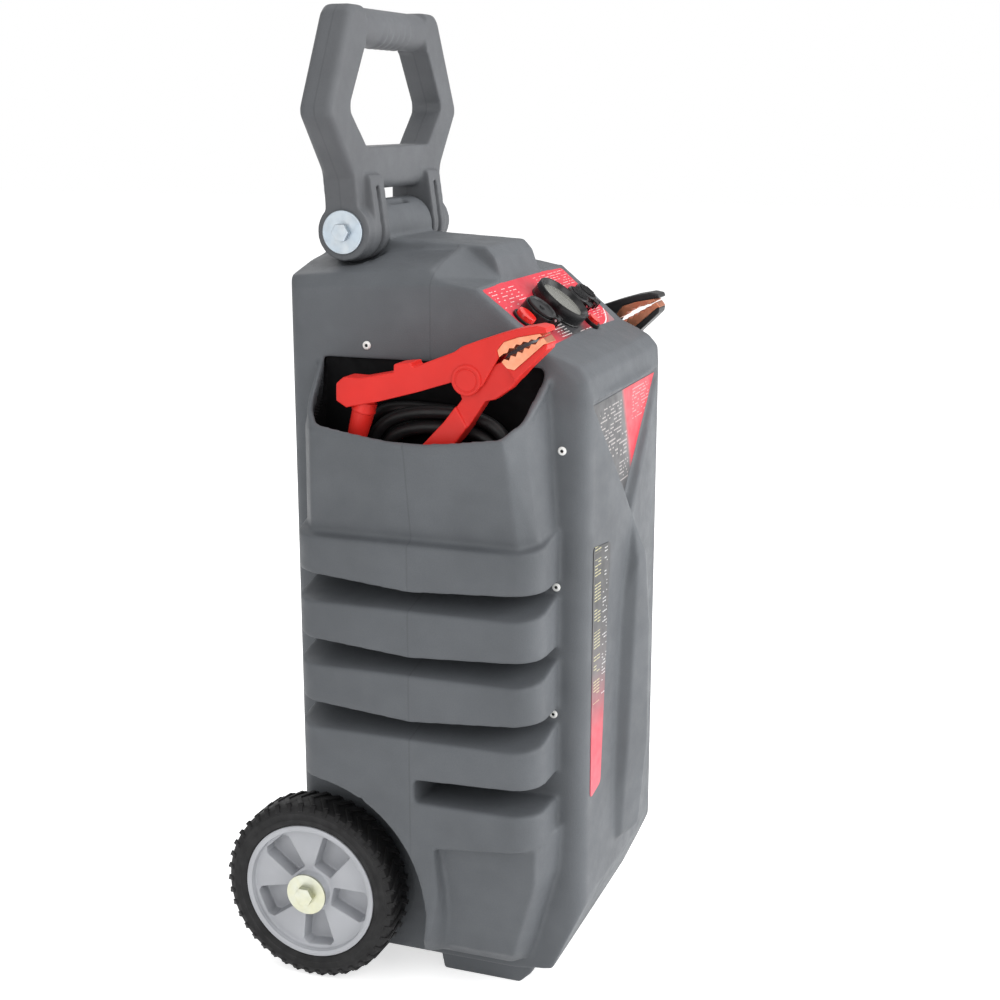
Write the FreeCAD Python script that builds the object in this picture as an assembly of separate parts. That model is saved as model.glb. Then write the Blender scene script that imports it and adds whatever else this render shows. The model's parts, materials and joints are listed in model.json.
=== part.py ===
import FreeCAD, Part
import itertools
import math
import os
from FreeCAD import Vector as V

# A wheeled battery booster and charger, in millimetres.
# X is across, -Y is the front with the control panel, +Z is up.
# The origin is on the ground under the middle of the machine.

# ---- driving dimensions ----
HALF_WIDTH = 140.0          # outer face of the plain side walls
SHELL_WALL = 4.0
HOOD_WALL = 6.5             # thicker under the handle
CORNER_R = 18.0             # upright corners of the shell
REAR_Y = 148.0
FRONT_Y = -185.0
SEAM_Y = -15.0              # where the two mould halves meet

AXLE_Y, AXLE_Z, AXLE_R = 111.0, 103.0, 10.0
TYRE_R, RIM_R, TYRE_WIDTH = 103.0, 76.0, 46.0
WHEEL_INNER_X = 153.5
ARCH_R = 140.0
RUN = 0.05                  # radial clearance of a running fit

RIB_X = 208.0
RIB_FRONT_Y, RIB_REAR_Y = -155.0, 117.0
RIB_CORNER_R = 30.0
RIB_LEVELS = [              # top, then underside at the front, seam and rear
    (510.0, 468.0, 460.0, 472.0),
    (440.0, 398.0, 390.0, 401.0),
    (370.5, 331.0, 320.0, 331.0),
    (301.0, 261.0, 256.0, 190.0),
]
RIB_TOP_RISE = 15.0         # a rib's top climbs this much towards the wall

PANEL_TOP = V(0, -63, 762)
PANEL_BOTTOM = V(0, -138, 701)
PANEL_HALF_TOP, PANEL_HALF_BOTTOM = 130.0, 118.0

PIVOT_Y, PIVOT_Z = 94.0, 812.7
SHAFT_R = 7.0
BARREL_R, BARREL_HALF = 30.0, 60.0
EAR_INNER_X, EAR_OUTER_X, BOSS_R = 61.0, 111.0, 30.0
BAND_R = 32.0               # the ears' inner band, with the groove in it
HANDLE_FRONT_Y, HANDLE_REAR_Y = 77.0, 115.0

POCKET_TOP_X, POCKET_LOW_X = 216.0, 194.0
CABLE_R = 7.0
CLAMP_X = 179.0
CLAMP_HALF = 14.0
CLAMP_TILT = 30.0           # the jaws point forward and this far up

PANEL_DOWN = (PANEL_BOTTOM - PANEL_TOP).normalize()
PANEL_OUT = V(0, PANEL_DOWN.z, -PANEL_DOWN.y)
PANEL_SLOPE = math.degrees(math.atan2(PANEL_OUT.y, -PANEL_OUT.z)) + 180.0
LABEL_THICK = 0.8
X_AXIS, Y_AXIS, Z_AXIS = V(1, 0, 0), V(0, 1, 0), V(0, 0, 1)
ORIGIN = V(0, 0, 0)

SHOULDER_X = 60.4           # where the hood steps down beside the hinge
EAR_ROOM = 3.5              # clearance round the handle's ears
HUB_END_X = 203.0
AXLE_END_X = HUB_END_X + 0.3
RIM_TURN = 48.0             # where the first window stands
WHEEL_STUD_R = 5.0

RIVETS = [(56.0, 700.0), (-157.0, 604.0), (-152.0, 461.5), (-150.0, 323.5)]
RIVET_R = 2.0
COVER_X, COVER_LOW, COVER_TOP = 110.0, 180.0, 670.0
COVER_SCREWS = [(x, z) for x in (-105.0, 105.0) for z in (186.0, 345.0, 505.0, 664.0)]
SCREW_R = 2.0

PANEL_ITEMS = {             # across, down the slope, radius of the hole in the hood
    "meter": (-3.0, 52.0, 28.0),
    "charge_socket": (-76.0, 53.5, 15.0),
    "power_button": (-108.0, 52.0, 12.0),
    "test_button": (43.0, 84.5, 8.2),
    "aux_socket_inner": (66.0, 50.0, 11.5),
    "aux_socket_outer": (95.0, 50.0, 11.5),
}
METER_R, METER_BORE, METER_LENS_OUT = 32.0, 25.0, 12.0
CAP_PIN_R = 1.2
CHARGE = dict(flange=18.5, barrel=14.8, bore=11.0, depth=20.0, rim=12.0, side=-1, reach=20.8, hinge_z=15.0,
              lid_room=18.3)
AUX = dict(flange=13.2, barrel=11.3, bore=10.5, depth=32.0, rim=4.0, side=-1, reach=16.8, hinge_z=7.0,
           lid_room=14.7)

HANDLE_STUD_R = 4.0
HANDLE_OUTLINE = [(111, 812), (111, 842), (115, 866), (167, 930), (167, 940), (116, 1034), (107, 1041)]
HANDLE_OPENING = [(82, 899), (120, 935), (120, 943), (84, 997), (77, 1000)]
CROSSBAR_LOW, CROSSBAR_R = 854.0, 13.0
LIMB_CORNER_R, LIMB_EDGE_R = 4.0, 9.0
GRIP_HALF, GRIP_Y, GRIP_Z, GRIP_R = 80.0, 97.0, 1020.0, 20.0
RIB_OUT_X = 95.0

POCKET_FLOOR, POCKET_WALL = 505.0, 6.0
LINER_X0, LINER_X1, LINER_WALL = 132.5, 135.0, 2.0
LINER_FLOOR = POCKET_FLOOR + POCKET_WALL + 1.0 + LINER_WALL
COIL_X0, COIL_X1 = 136.5, 164.5
COIL_MIDDLE = (-30.0, 592.0)
COIL_LONG, COIL_HIGH, COIL_THICK = 95.0, 60.0, 28.0
GLAND_Y = 69.0
GLAND_TOP = 535.0

# the clamps; outlines are (towards the tips, up) about the pivot
CLAMP_PIVOT = {-1: (-75.0, 679.0), 1: (-91.0, 675.0)}
PIVOT_PIN_R = 5.0
CHEEK_IN, LOWER_HALF = 9.3, 9.0
LEVER_UPPER = [
    (-128, 61), (-118, 63), (-103, 54), (-66, 42), (-61, 49), (-44, 42), (-45, 37), (2, 30), (12, 31),
    (25, 29), (52, 24), (73, 19), (91, 13), (98, 7), (97, 2), (90, 5), (69, 12), (53, 15), (43, 11),
    (41, 4), (30, -2), (13, -12), (0, -15), (-11, -11), (-14, 5), (-52, 13), (-96, 24), (-131, 35),
    (-137, 46),
]
LEVER_LOWER = [
    (92, -7), (88, -12), (77, -15), (57, -20), (34, -28), (15, -30), (5, -27), (-21, -40), (-42, -49),
    (-80, -60), (-118, -66), (-125, -60), (-124, -47), (-73, -34), (-43, -25), (-16, -14), (-12, 8),
    (0, 13), (12, 10), (30, 1), (41, -1), (43, -9), (49, -14), (69, -10), (88, -6),
]
JAW_UPPER = [
    (41, 4), (43, 11), (53, 15), (69, 12), (90, 5), (91, 1.2), (87, 2.6), (83, 1.4), (79, 4.2), (75, 3),
    (71, 6), (67, 4.4), (63, 7), (59, 4.6), (55, 7), (51, 4), (47, 5),
]
JAW_LOWER = [
    (41, -1), (45, 0.5), (49, -3), (53, 0.5), (57, -3), (61, 0.5), (65, -3), (69, 0.5), (73, -2.5),
    (77, 0.5), (81, -2), (85, 0.3), (91, 0.3), (92, -7), (88, -6), (69, -10), (49, -14), (43, -9),
]

os.makedirs("parts", exist_ok=True)


# ---- small helpers ----
def save(name, *solids):
    """Write one node; separate solids in it stay separate."""
    shape = solids[0] if len(solids) == 1 else Part.makeCompound(list(solids))
    shape.exportStep("parts/" + name + ".step")


def block(x0, x1, y0, y1, z0, z1):
    return Part.makeBox(x1 - x0, y1 - y0, z1 - z0, V(x0, y0, z0))


def rod(start, along, radius, length):
    return Part.makeCylinder(radius, length, V(*start), V(*along))


def ring(start, along, outer, inner, length):
    return rod(start, along, outer, length).cut(rod(start, along, inner, length))


def mirrored(shape):
    return shape.mirror(ORIGIN, X_AXIS)


def pair(shape):
    """The shape and its mirror image across the middle plane."""
    return [shape, mirrored(shape)]


def fused(shapes):
    return shapes[0].multiFuse(list(shapes[1:])).removeSplitter() if len(shapes) > 1 else shapes[0]


def profile(points, direction):
    """Extrude a flat closed outline."""
    corners = [V(*p) for p in points]
    return Part.Face(Part.makePolygon(corners + corners[:1])).extrude(V(*direction))


def side_profile(points, x0, x1):
    """Extrude an outline given as (y, z) across from x0 to x1."""
    return profile([(x0, y, z) for y, z in points], (x1 - x0, 0, 0))


def convex(points):
    """The flat-sided solid with these outermost corners."""
    corners = [V(*p) for p in points]
    middle = sum(corners, V()) * (1.0 / len(corners))
    planes = []
    for a, b, c in itertools.combinations(corners, 3):
        normal = (b - a).cross(c - a)
        if normal.Length < 1e-6:
            continue
        normal.normalize()
        if (middle - a).dot(normal) > 0:
            normal = normal * -1
        known = any(n.dot(normal) > 1 - 1e-8 and abs((a - p).dot(n)) < 1e-3 for n, p in planes)
        if not known and max((p - a).dot(normal) for p in corners) < 1e-5:
            planes.append((normal, a))
    faces = []
    for normal, a in planes:
        flat = [p for p in corners if abs((p - a).dot(normal)) < 1e-4]
        centre = sum(flat, V()) * (1.0 / len(flat))
        across = (flat[0] - centre).normalize()
        up = normal.cross(across)
        flat.sort(key=lambda p: math.atan2((p - centre).dot(up), (p - centre).dot(across)))
        faces.append(Part.Face(Part.makePolygon(flat + flat[:1])))
    return Part.makeSolid(Part.makeShell(faces))


def rounded_slab(x0, x1, y0, y1, z0, z1, radius):
    """A block whose four upright edges are round."""
    slab = block(x0, x1, y0, y1, z0, z1)
    upright = [e for e in slab.Edges if abs(e.tangentAt(e.FirstParameter).z) > 0.99]
    return slab.makeFillet(radius, upright)


def on_panel(x, down, out):
    """A point of the sloping panel: across, down the slope, and out from it."""
    return PANEL_TOP + X_AXIS * x + PANEL_DOWN * down + PANEL_OUT * out


def panel_disc(x, down, start, height, radius):
    return Part.makeCylinder(radius, height, on_panel(x, down, start), PANEL_OUT)


# ---- body shell ----
def core(inset):
    """The plain body between the side walls, without ribs; its upright corners are round."""
    t = inset
    outline = [
        (REAR_Y - t, 22 + t), (REAR_Y - t, 784 - t), (124 - t, 800 - t), (66, 804 - t),
        (-46, 798 - t), (-56 + t / 2, 787 - t), (-64 + t / 2, 764 - t * 1.2),
        (-138, 703 - t * 1.2), (-156, 696 - t * 1.2), (-172 + t / 2, 688 - t), (-182 + t, 676 - t),
        (FRONT_Y + t, 655), (FRONT_Y + t, 106), (-150 + t, 28 + t),
        (-105, 22 + t),
    ]
    body = side_profile(outline, -HALF_WIDTH + t, HALF_WIDTH - t)
    return body.common(
        rounded_slab(t - HALF_WIDTH, HALF_WIDTH - t, FRONT_Y + t, REAR_Y - t, 0, 900, CORNER_R - t)
    )


def shoulder_cut(inset):
    """What the crowned shoulders beside the hinge take off the core."""
    t = inset
    edge, inner = HALF_WIDTH + 10, SHOULDER_X - t
    rear_in, front_in = V(inner, 158, 785 - t), V(inner, -21, 797 - t)
    rear_out, front_out = V(edge, 158, 762 - t), V(edge, -8, 773 - t)
    brow_in, brow_out = V(inner, -64, 764 - t), V(edge, -64, 762 - t)
    lift = V(0, 0, 60)
    rear = [rear_in, front_in, rear_out, front_out]
    brow = [front_in, front_out, brow_in, brow_out]
    return [convex([*part, *(p + lift for p in part)]) for part in (rear, brow)]


def edge_cuts():
    """Bevels that start the soft edges along the hood and the shoulders."""
    w = HALF_WIDTH
    hood = convex([
        (w - 12, -55, 790), (w + 8, -55, 750), (w - 12, -55, 830), (w + 8, -55, 830),
        (w - 12, -200, 672), (w + 8, -200, 632), (w - 12, -200, 720), (w + 8, -200, 720),
    ])
    shoulder = convex([
        (w - 14, -60, 781), (w + 6, -60, 761), (w - 14, -60, 850), (w + 6, -60, 850),
        (w - 14, 160, 770), (w + 6, 160, 750), (w - 14, 160, 850), (w + 6, 160, 850),
    ])
    rear = profile([(-150, 136, 792), (-150, 158, 770), (-150, 158, 800)], (300, 0, 0))
    return [*pair(hood), *pair(shoulder), rear]


def rib(top, low_front, low_seam, low_rear, inset):
    """One side rib on the +X side: flat top that climbs to the wall, V-shaped underside."""
    t = inset
    outer, inner = RIB_X - t, HALF_WIDTH - 6.0
    front, rear = RIB_FRONT_Y + t, RIB_REAR_Y - t
    under = [(front, low_front + t), (SEAM_Y, low_seam + t), (rear, low_rear + t)]
    band = side_profile([(rear, top + 60), (front, top + 60), *under], inner, outer)
    lid = profile(
        [(outer + 9, front - 9, top - t - 2), (inner, front - 9, top - t + RIB_TOP_RISE),
         (inner, front - 9, top + 90), (outer + 9, front - 9, top + 90)],
        (0, rear - front + 18, 0),
    )
    plan = rounded_slab(inner - 80, outer, front, rear, 0, 700, RIB_CORNER_R - t)
    return band.cut(lid).common(plan)


def lower_rib(inset):
    """The short rib under the front of the fourth one, with the slot between them."""
    t = inset
    outer, inner = RIB_X - t, HALF_WIDTH - 6.0
    front, rear = RIB_FRONT_Y + t, 40.0
    band = side_profile(
        [(front, 232 - t), (-19 - t, 232 - t), (-19 - t, 270), (rear, 270), (rear, 120),
         (-38 + t, 120 + t), (-35 + t, 181 + t), (front, 194 + t)], inner, outer)
    lid = profile(
        [(outer + 9, front - 9, 230 - t), (inner, front - 9, 243 - t), (inner, front - 9, 262),
         (outer + 9, front - 9, 262)],
        (0, -19 - t - front + 9, 0),
    )
    plan = rounded_slab(inner - 80, outer, front, rear + 60, 0, 700, RIB_CORNER_R - t)
    return band.cut(lid).common(plan)


def skirt(inset):
    """The shallow lower side panel under the short rib, narrowing to the bottom edge."""
    t = inset
    inner = HALF_WIDTH - 6.0
    panel = convex([
        (196 - t, -150 + t, 200), (196 - t, 20, 200), (190 - t, -147 + t, 150), (190 - t, 20, 150),
        (173 - t, -118 + t, 56 + t), (173 - t, 20, 56 + t), (156 - t, -110 + t, 38 + t),
        (156 - t, 20, 38 + t), (inner, -162 + t, 200), (inner, -158 + t, 150),
        (inner, -128 + t, 38 + t), (inner, 20, 38 + t), (inner, 20, 200),
    ])
    return panel


def arch_strip():
    """The narrow border that runs down in front of the wheel arch."""
    return convex([
        (RIB_X, -40, 190), (RIB_X, 30, 190), (RIB_X - 2, -44, 130), (RIB_X - 2, 30, 130),
        (RIB_X - 4, -31, 72), (RIB_X - 4, 30, 72), (RIB_X - 20, -28, 52), (RIB_X - 20, 30, 52),
        (154, -52, 130), (154, -46, 42), (154, 30, 42), (154, -46, 190), (154, 30, 190),
    ])


def pocket(inset, top=624.0, wall_top=688.0):
    """The side pocket's outer form; its wall leans out and its top slopes up to the side wall."""
    t = inset
    low = POCKET_FLOOR + t
    lean = (POCKET_TOP_X - POCKET_LOW_X) / (624.0 - POCKET_FLOOR)
    far_x = POCKET_TOP_X - t + (top - 624.0) * lean
    cheek = (120 - t, 150 - t)
    return convex([
        (POCKET_LOW_X - t, 6 - 136 + t, low), (POCKET_LOW_X - t, 98 - t, low),
        (far_x, -cheek[0], top), (far_x, 86 - t, top),
        (176, -148 + t, low), (176, 112 - t, low), (190, -cheek[0] - 16, top), (190, 104 - t, top),
        (134, -cheek[1] - 4, low), (134, 126 - t, low),
        (134, -cheek[1] + 8, wall_top), (134, 112 - t, wall_top),
    ])


def pocket_mouth():
    """What is cut off above the lip, so that it dips towards the middle of the pocket."""
    x0, x1 = HALF_WIDTH, POCKET_TOP_X + 4
    halves = []
    for end_y, end_z, wall_z in ((-150, 626, 676), (120, 629, 686)):
        halves.append(convex([
            (x0, SEAM_Y, 687), (x1, SEAM_Y, 606), (x0, end_y, wall_z), (x1, end_y, end_z),
            (x0, SEAM_Y, 760), (x1, SEAM_Y, 760), (x0, end_y, 760), (x1, end_y, 760),
        ]))
    return halves


def front_crown():
    """The front face bulges a little towards the middle."""
    return convex([
        (-117, -182, 660), (117, -182, 660), (0, -182, 664), (0, -192, 655), (-60, -190, 655),
        (60, -190, 655), (-117, -182, 110), (117, -182, 110), (0, -192, 118), (-60, -190, 116),
        (60, -190, 116), (-121, FRONT_Y, 650), (121, FRONT_Y, 650), (-121, FRONT_Y, 112),
        (121, FRONT_Y, 112),
    ])


def spine():
    """The raised keel on the front, from the label's lower tip down to its step."""
    upper = convex([
        (0, -191, 512), (0, -184, 512), (-40, -184, 400), (40, -184, 400), (-53, -184, 236),
        (53, -184, 236), (0, -208, 470), (-16, -205, 460), (16, -205, 460), (0, -214, 380),
        (-30, -206, 380), (30, -206, 380), (0, -214, 236), (-42, -204, 250), (42, -204, 250),
    ])
    lower = convex([
        (-53, -184, 250), (53, -184, 250), (-42, -204, 250), (42, -204, 250), (0, -214, 250),
        (0, -206, 150), (-38, -197, 150), (38, -197, 150), (-49, -184, 152), (49, -184, 152),
        (-44, -176, 128), (44, -176, 128),
    ])
    return [upper, lower]


def label_recess():
    """The triangular hollow on the front that the label lies in."""
    top, tip = 655.0, 508.0
    corners = [(-131, top), (131, top), (0, tip)]
    deep = [(-124, top - 4), (124, top - 4), (0, tip + 12)]
    return convex([*((x, -199, z) for x, z in corners), *((x, -181, z) for x, z in deep)])


def foot():
    return convex([
        (96, -110, 0), (130, -110, 0), (96, -20, 0), (130, -20, 0), (98, -123, 12), (128, -123, 12),
        (93, -130, 42), (133, -130, 42), (93, -12, 42), (133, -12, 42),
    ])


def hinge_barrel():
    """The tube that carries the handle's shaft, on a neck that runs down into the hood."""
    tube = rod((-BARREL_HALF, PIVOT_Y, PIVOT_Z), (1, 0, 0), BARREL_R, 2 * BARREL_HALF)
    neck = block(-BARREL_HALF, BARREL_HALF, PIVOT_Y - 26, PIVOT_Y + 26, 770, PIVOT_Z)
    return tube.fuse(neck)


def rear_opening(grow):
    return rounded_slab(-100 - grow, 100 + grow, REAR_Y - 12, REAR_Y + 1, 190 - grow, 660 + grow, 1)


def body_shell():
    outside = [core(0), hinge_barrel(), front_crown(), *spine()]
    for level in RIB_LEVELS:
        outside += pair(rib(*level, 0))
    for part in (lower_rib(0), skirt(0), arch_strip(), pocket(0), foot()):
        outside += pair(part)
    arch = rod((HALF_WIDTH, AXLE_Y, AXLE_Z), (1, 0, 0), ARCH_R, 90)
    takes = [*pair(arch), label_recess(), *edge_cuts()]
    for cut in (*shoulder_cut(0), *pocket_mouth()):
        takes += pair(cut)
    ear_room = rod((BARREL_HALF + 0.5, PIVOT_Y, PIVOT_Z), (1, 0, 0), BAND_R + EAR_ROOM, 60)
    takes += pair(ear_room)
    takes.append(rod((-80, PIVOT_Y, PIVOT_Z), (1, 0, 0), SHAFT_R + RUN, 160))
    takes.append(block(-28, 26, PIVOT_Y - 16, PIVOT_Y - 6, PIVOT_Z + 22, PIVOT_Z + 40))
    outer = fused(outside)
    for cut in takes:
        outer = outer.cut(cut)

    t = SHELL_WALL
    hollow = core(t).cut(block(-200, 200, -70, 200, 797 - HOOD_WALL, 900))
    for cut in shoulder_cut(HOOD_WALL):
        for side in pair(cut):
            hollow = hollow.cut(side)
    inner_edges = [c.translated(V(0, 0, -HOOD_WALL * 1.5)) for c in edge_cuts()]
    for cut in (*inner_edges, *pair(rod((BARREL_HALF - 6, PIVOT_Y, PIVOT_Z), (1, 0, 0), BOSS_R + 10, 90))):
        hollow = hollow.cut(cut)
    hollow = hollow.cut(rod((-80, PIVOT_Y, PIVOT_Z), (1, 0, 0), SHAFT_R + 5, 160))
    hollow = hollow.cut(label_recess().translated(V(0, t, 0)))
    pockets = []
    for level in RIB_LEVELS[:3]:
        pockets += pair(rib(*level, t))
    shell = outer.cut(hollow)
    for space in (*pockets, *pair(pocket(POCKET_WALL, 644.0))):
        shell = shell.cut(space)
    for x, down, radius in PANEL_ITEMS.values():
        shell = shell.cut(panel_disc(x, down, -14, 40, radius))
    shell = shell.cut(rear_opening(0))
    shell = shell.cut(rounded_slab(-90, 90, -100, 112, 15, 30, 20))
    shell = shell.cut(rod((-220, AXLE_Y, AXLE_Z), (1, 0, 0), AXLE_R + 1, 440))
    shell = shell.cut(label_plate(0.3, 12.0))
    for item, radius in (("power_button", 13.6), ("test_button", 9.9)):
        x, down, _ = PANEL_ITEMS[item]
        shell = shell.cut(panel_disc(x, down, LABEL_THICK, 12, radius))
    for y, z in RIVETS:
        shell = shell.cut(rod((-150, y, z), (1, 0, 0), RIVET_R, 300))
    for x, z in COVER_SCREWS:
        shell = shell.cut(rod((x, REAR_Y - 8, z), (0, 1, 0), SCREW_R, 12))
    return shell


# ---- panels, labels and fasteners of the shell ----
def label_plate(grow, thickness):
    """The outline of the control panel's label, raised square to the slope."""
    top, bottom = PANEL_HALF_TOP + grow, PANEL_HALF_BOTTOM + grow
    length = (PANEL_BOTTOM - PANEL_TOP).Length
    corners = [on_panel(-bottom, length - 4 + grow, 0), on_panel(0, length - 7 + grow, 0),
               on_panel(bottom, length - 4 + grow, 0), on_panel(top, 3 - grow, 0),
               on_panel(0, 1 - grow, 0), on_panel(-top, 3 - grow, 0)]
    edges = [Part.Arc(*corners[:3]).toShape(), Part.LineSegment(corners[2], corners[3]).toShape(),
             Part.Arc(*corners[3:]).toShape(), Part.LineSegment(corners[5], corners[0]).toShape()]
    return Part.Face(Part.Wire(edges)).extrude(PANEL_OUT * thickness)


def panel_label():
    plate = label_plate(0, LABEL_THICK)
    for x, down, radius in PANEL_ITEMS.values():
        plate = plate.cut(panel_disc(x, down, -5, 20, radius))
    return plate


def front_label():
    corners = [(-117, 647), (117, 647), (0, 531)]
    return profile([(x, -181, z) for x, z in corners], (0, -LABEL_THICK, 0))


def rounded_corners(corners, radius):
    """A polygon's corners, each replaced by three points along a small curve."""
    points = []
    for before, (x, z), after in zip(corners[-1:] + corners[:-1], corners, corners[1:] + corners[:1]):
        to_a = V(before[0] - x, 0, before[1] - z).normalize() * radius
        to_b = V(after[0] - x, 0, after[1] - z).normalize() * radius
        for share in (1.0, 0.62, 0.3, 0.08):
            other = {1.0: 0.0, 0.62: 0.08, 0.3: 0.3, 0.08: 0.62}[share]
            points.append((x + to_a.x * share + to_b.x * other, z + to_a.z * share + to_b.z * other))
        points.append((x + to_b.x, z + to_b.z))
    return points


def strip_label():
    """A thin strip that follows the front face and its rounded corner."""
    face = core(0).fuse(front_crown())
    corners = rounded_corners([(-121, 501), (-73, 497), (-93, 234), (-121, 226)], 5.0)
    outline = profile([(x, -230, z) for x, z in corners], (0, 80, 0))
    strip = face.translated(V(0, -LABEL_THICK, 0)).common(outline).cut(face)
    return max(strip.Solids, key=lambda solid: solid.Volume)


def base_plate():
    return rounded_slab(-125, 125, -104, 135, 26, 28.5, 15)


def rear_cover():
    cover = rounded_slab(-COVER_X, COVER_X, REAR_Y, REAR_Y + 4, COVER_LOW, COVER_TOP, 1.5)
    for k in range(6):
        slot_z = 560 + 12 * k
        cover = cover.cut(block(-60, 60, REAR_Y - 1, REAR_Y + 5, slot_z, slot_z + 5))
    for x, z in COVER_SCREWS:
        cover = cover.cut(rod((x, REAR_Y - 1, z), (0, 1, 0), SCREW_R, 10))
    return cover


def cover_screws():
    screws = []
    for x, z in COVER_SCREWS:
        head = rod((x, REAR_Y + 4, z), (0, 1, 0), 4.5, 2.5)
        shank = rod((x, REAR_Y - 8, z), (0, 1, 0), SCREW_R, 12)
        cross = [block(x - 2.5, x + 2.5, REAR_Y + 5, REAR_Y + 8, z - 0.5, z + 0.5),
                 block(x - 0.5, x + 0.5, REAR_Y + 5, REAR_Y + 8, z - 2.5, z + 2.5)]
        screws.append(head.fuse(shank).cut(fused(cross)))
    return screws


def shell_rivets():
    rivets = []
    for y, z in RIVETS:
        head = rod((HALF_WIDTH, y, z), (1, 0, 0), 4.5, 2.0)
        shank = rod((HALF_WIDTH - SHELL_WALL, y, z), (1, 0, 0), RIVET_R, SHELL_WALL)
        dimple = rod((HALF_WIDTH + 0.8, y, z), (1, 0, 0), 1.8, 2.0)
        rivets += pair(head.fuse(shank).cut(dimple))
    return rivets


# ---- things on the sloping panel ----
def on_slope(shape, item):
    """Move a shape made about the origin (+Z out, +Y up the slope) to an item's place."""
    x, down, _ = PANEL_ITEMS[item]
    turned = shape.copy()
    turned.rotate(ORIGIN, X_AXIS, PANEL_SLOPE)
    turned.translate(on_panel(x, down, 0))
    return turned


def upright(z0, z1, radius):
    return rod((0, 0, z0), (0, 0, 1), radius, z1 - z0)


def meter_case():
    body = upright(-24, LABEL_THICK, 27.8).fuse(upright(LABEL_THICK, 17, METER_R))
    funnel = Part.makeCone(METER_BORE, 29.5, 5, V(0, 0, METER_LENS_OUT))
    return on_slope(body.cut(upright(-3, METER_LENS_OUT, METER_BORE)).cut(funnel), "meter")


def meter_lens():
    return on_slope(upright(METER_LENS_OUT - 1.5, METER_LENS_OUT, METER_BORE), "meter")


def meter_dial():
    return on_slope(upright(-3, -2, METER_BORE - 0.2), "meter")


def meter_needle():
    needle = block(-0.6, 0.6, -14, 12, -0.9, -0.3).fuse(
        rod((0, -10, -1.7), (0, 0, 1), 3.0, 2.0))
    return on_slope(needle, "meter")


def socket_hinge(side, reach, z):
    """Two ears of a socket's rim and the room for the cap's knuckle between them."""
    ears = []
    for x0, x1 in ((-7, -4.3), (4.3, 7)):
        ears.append(block(x0, x1, min(side * reach, side * (reach - 6)) - 2.5,
                          max(side * reach, side * (reach - 6)) + 2.5, LABEL_THICK, z + 2.5))
    return ears


def socket(item, flange, barrel, bore, depth, rim, side, reach, hinge_z, lid_room):
    body = upright(LABEL_THICK, rim, flange).fuse(upright(-depth, LABEL_THICK, barrel))
    body = fused([body, *socket_hinge(side, reach, hinge_z)])
    body = body.cut(upright(4 - depth, rim + 1, bore))
    room = block(-4.3, 4.3, -3, 3, -3, 3).translated(V(0, side * reach, hinge_z))
    body = body.cut(room).cut(upright(rim, rim + 12, lid_room))
    body = body.fuse(upright(4 - depth, 9 - depth, 2.5))
    pin_hole = rod((-8, side * reach, hinge_z), (1, 0, 0), CAP_PIN_R, 16)
    return on_slope(body.cut(pin_hole), item)


def cap(item, radius, low, top, side, reach, hinge_z, hollow):
    lid = upright(low, top, radius)
    lug = block(-4, 4, min(0, side * reach), max(0, side * reach), low, hinge_z + 2.4)
    knuckle = rod((-4, side * reach, hinge_z), (1, 0, 0), 2.4, 8)
    lid = fused([lid, lug, knuckle])
    if hollow:
        lid = lid.cut(upright(low - 1, top - 2, radius - 2))
    return on_slope(lid.cut(rod((-5, side * reach, hinge_z), (1, 0, 0), CAP_PIN_R + RUN, 10)), item)


def cap_hinge_pins():
    pins = []
    for item, form in (("charge_socket", CHARGE), ("aux_socket_inner", AUX), ("aux_socket_outer", AUX)):
        y = form["side"] * form["reach"]
        pins.append(on_slope(rod((-7, y, form["hinge_z"]), (1, 0, 0), CAP_PIN_R, 14), item))
    return pins


def button_rings():
    rings = []
    for item, flange, barrel, bore, rim in (
        ("power_button", 13.2, 11.8, 10.8, 4.0), ("test_button", 9.5, 8.0, 7.0, 5.0)
    ):
        body = upright(LABEL_THICK, rim, flange).fuse(upright(-12, LABEL_THICK, barrel))
        rings.append(on_slope(body.cut(upright(-10, rim + 1, bore)), item))
    return rings


def button(item, radius, low, top):
    return on_slope(upright(low, top, radius), item)


# ---- side pockets ----
def pocket_liner():
    outside = POCKET_WALL + 1.0
    tub = pocket(outside).cut(pocket(outside + LINER_WALL, 644.0, 712.0))
    for cut in pocket_mouth():
        tub = tub.cut(cut.translated(V(0, 0, -8)))
    back = block(LINER_X0, LINER_X1, -148, 122, POCKET_FLOOR + outside, 686)
    return tub.cut(block(100, 250, -200, 200, 686, 760)).fuse(back)


# ---- inside ----
def batteries():
    front = rounded_slab(-97.5, 97.5, -132, -2, 143, 298, 6)
    return front, front.translated(V(0, 132.5, 0))


def battery_posts():
    return [rod((x, y, 298), (0, 0, 1), 7, 14) for x in (-70, 70) for y in (-67, 65.5)]


def bus_bars():
    link = block(60, 80, -77, 75.5, 312, 315)
    riser = block(-80, -60, -77, -57, 312, 315).fuse(block(-80, -77, -77, -57, 312, 470))
    return [link, riser]


def inner_frame():
    parts = [block(-126, 126, -134, 132, 140, 143), block(-126, 126, -134, 66, 470, 473)]
    for side in (-1, 1):
        x0, x1 = sorted((side * 124, side * 126))
        parts.append(block(x0, x1, -120, -104, 28.5, 620))
        parts.append(block(x0, x1, 50, 66, 28.5, 700))
    return fused(parts)


def hold_down_strap():
    arch = block(-104, 104, -10, 10, 143, 301).cut(block(-101, 101, -11, 11, 142, 298))
    return arch


def charger_module():
    case = block(-110, 90, -130, -20, 473, 533)
    for k in range(12):
        case = case.cut(block(-112, 92, -126 + 8.8 * k, -122 + 8.8 * k, 527, 534))
    return case


def changeover_contactor():
    return block(-20, 50, -10, 40, 473, 533).fuse(pair(rod((8, 15, 533), (0, 0, 1), 5, 12))[0])


def main_fuse():
    return fused([block(66, 116, 0, 24, 473, 479), rod((75, 12, 487), (1, 0, 0), 6, 32),
                  block(70, 76, 4, 20, 479, 492), block(106, 112, 4, 20, 479, 492)])


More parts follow.
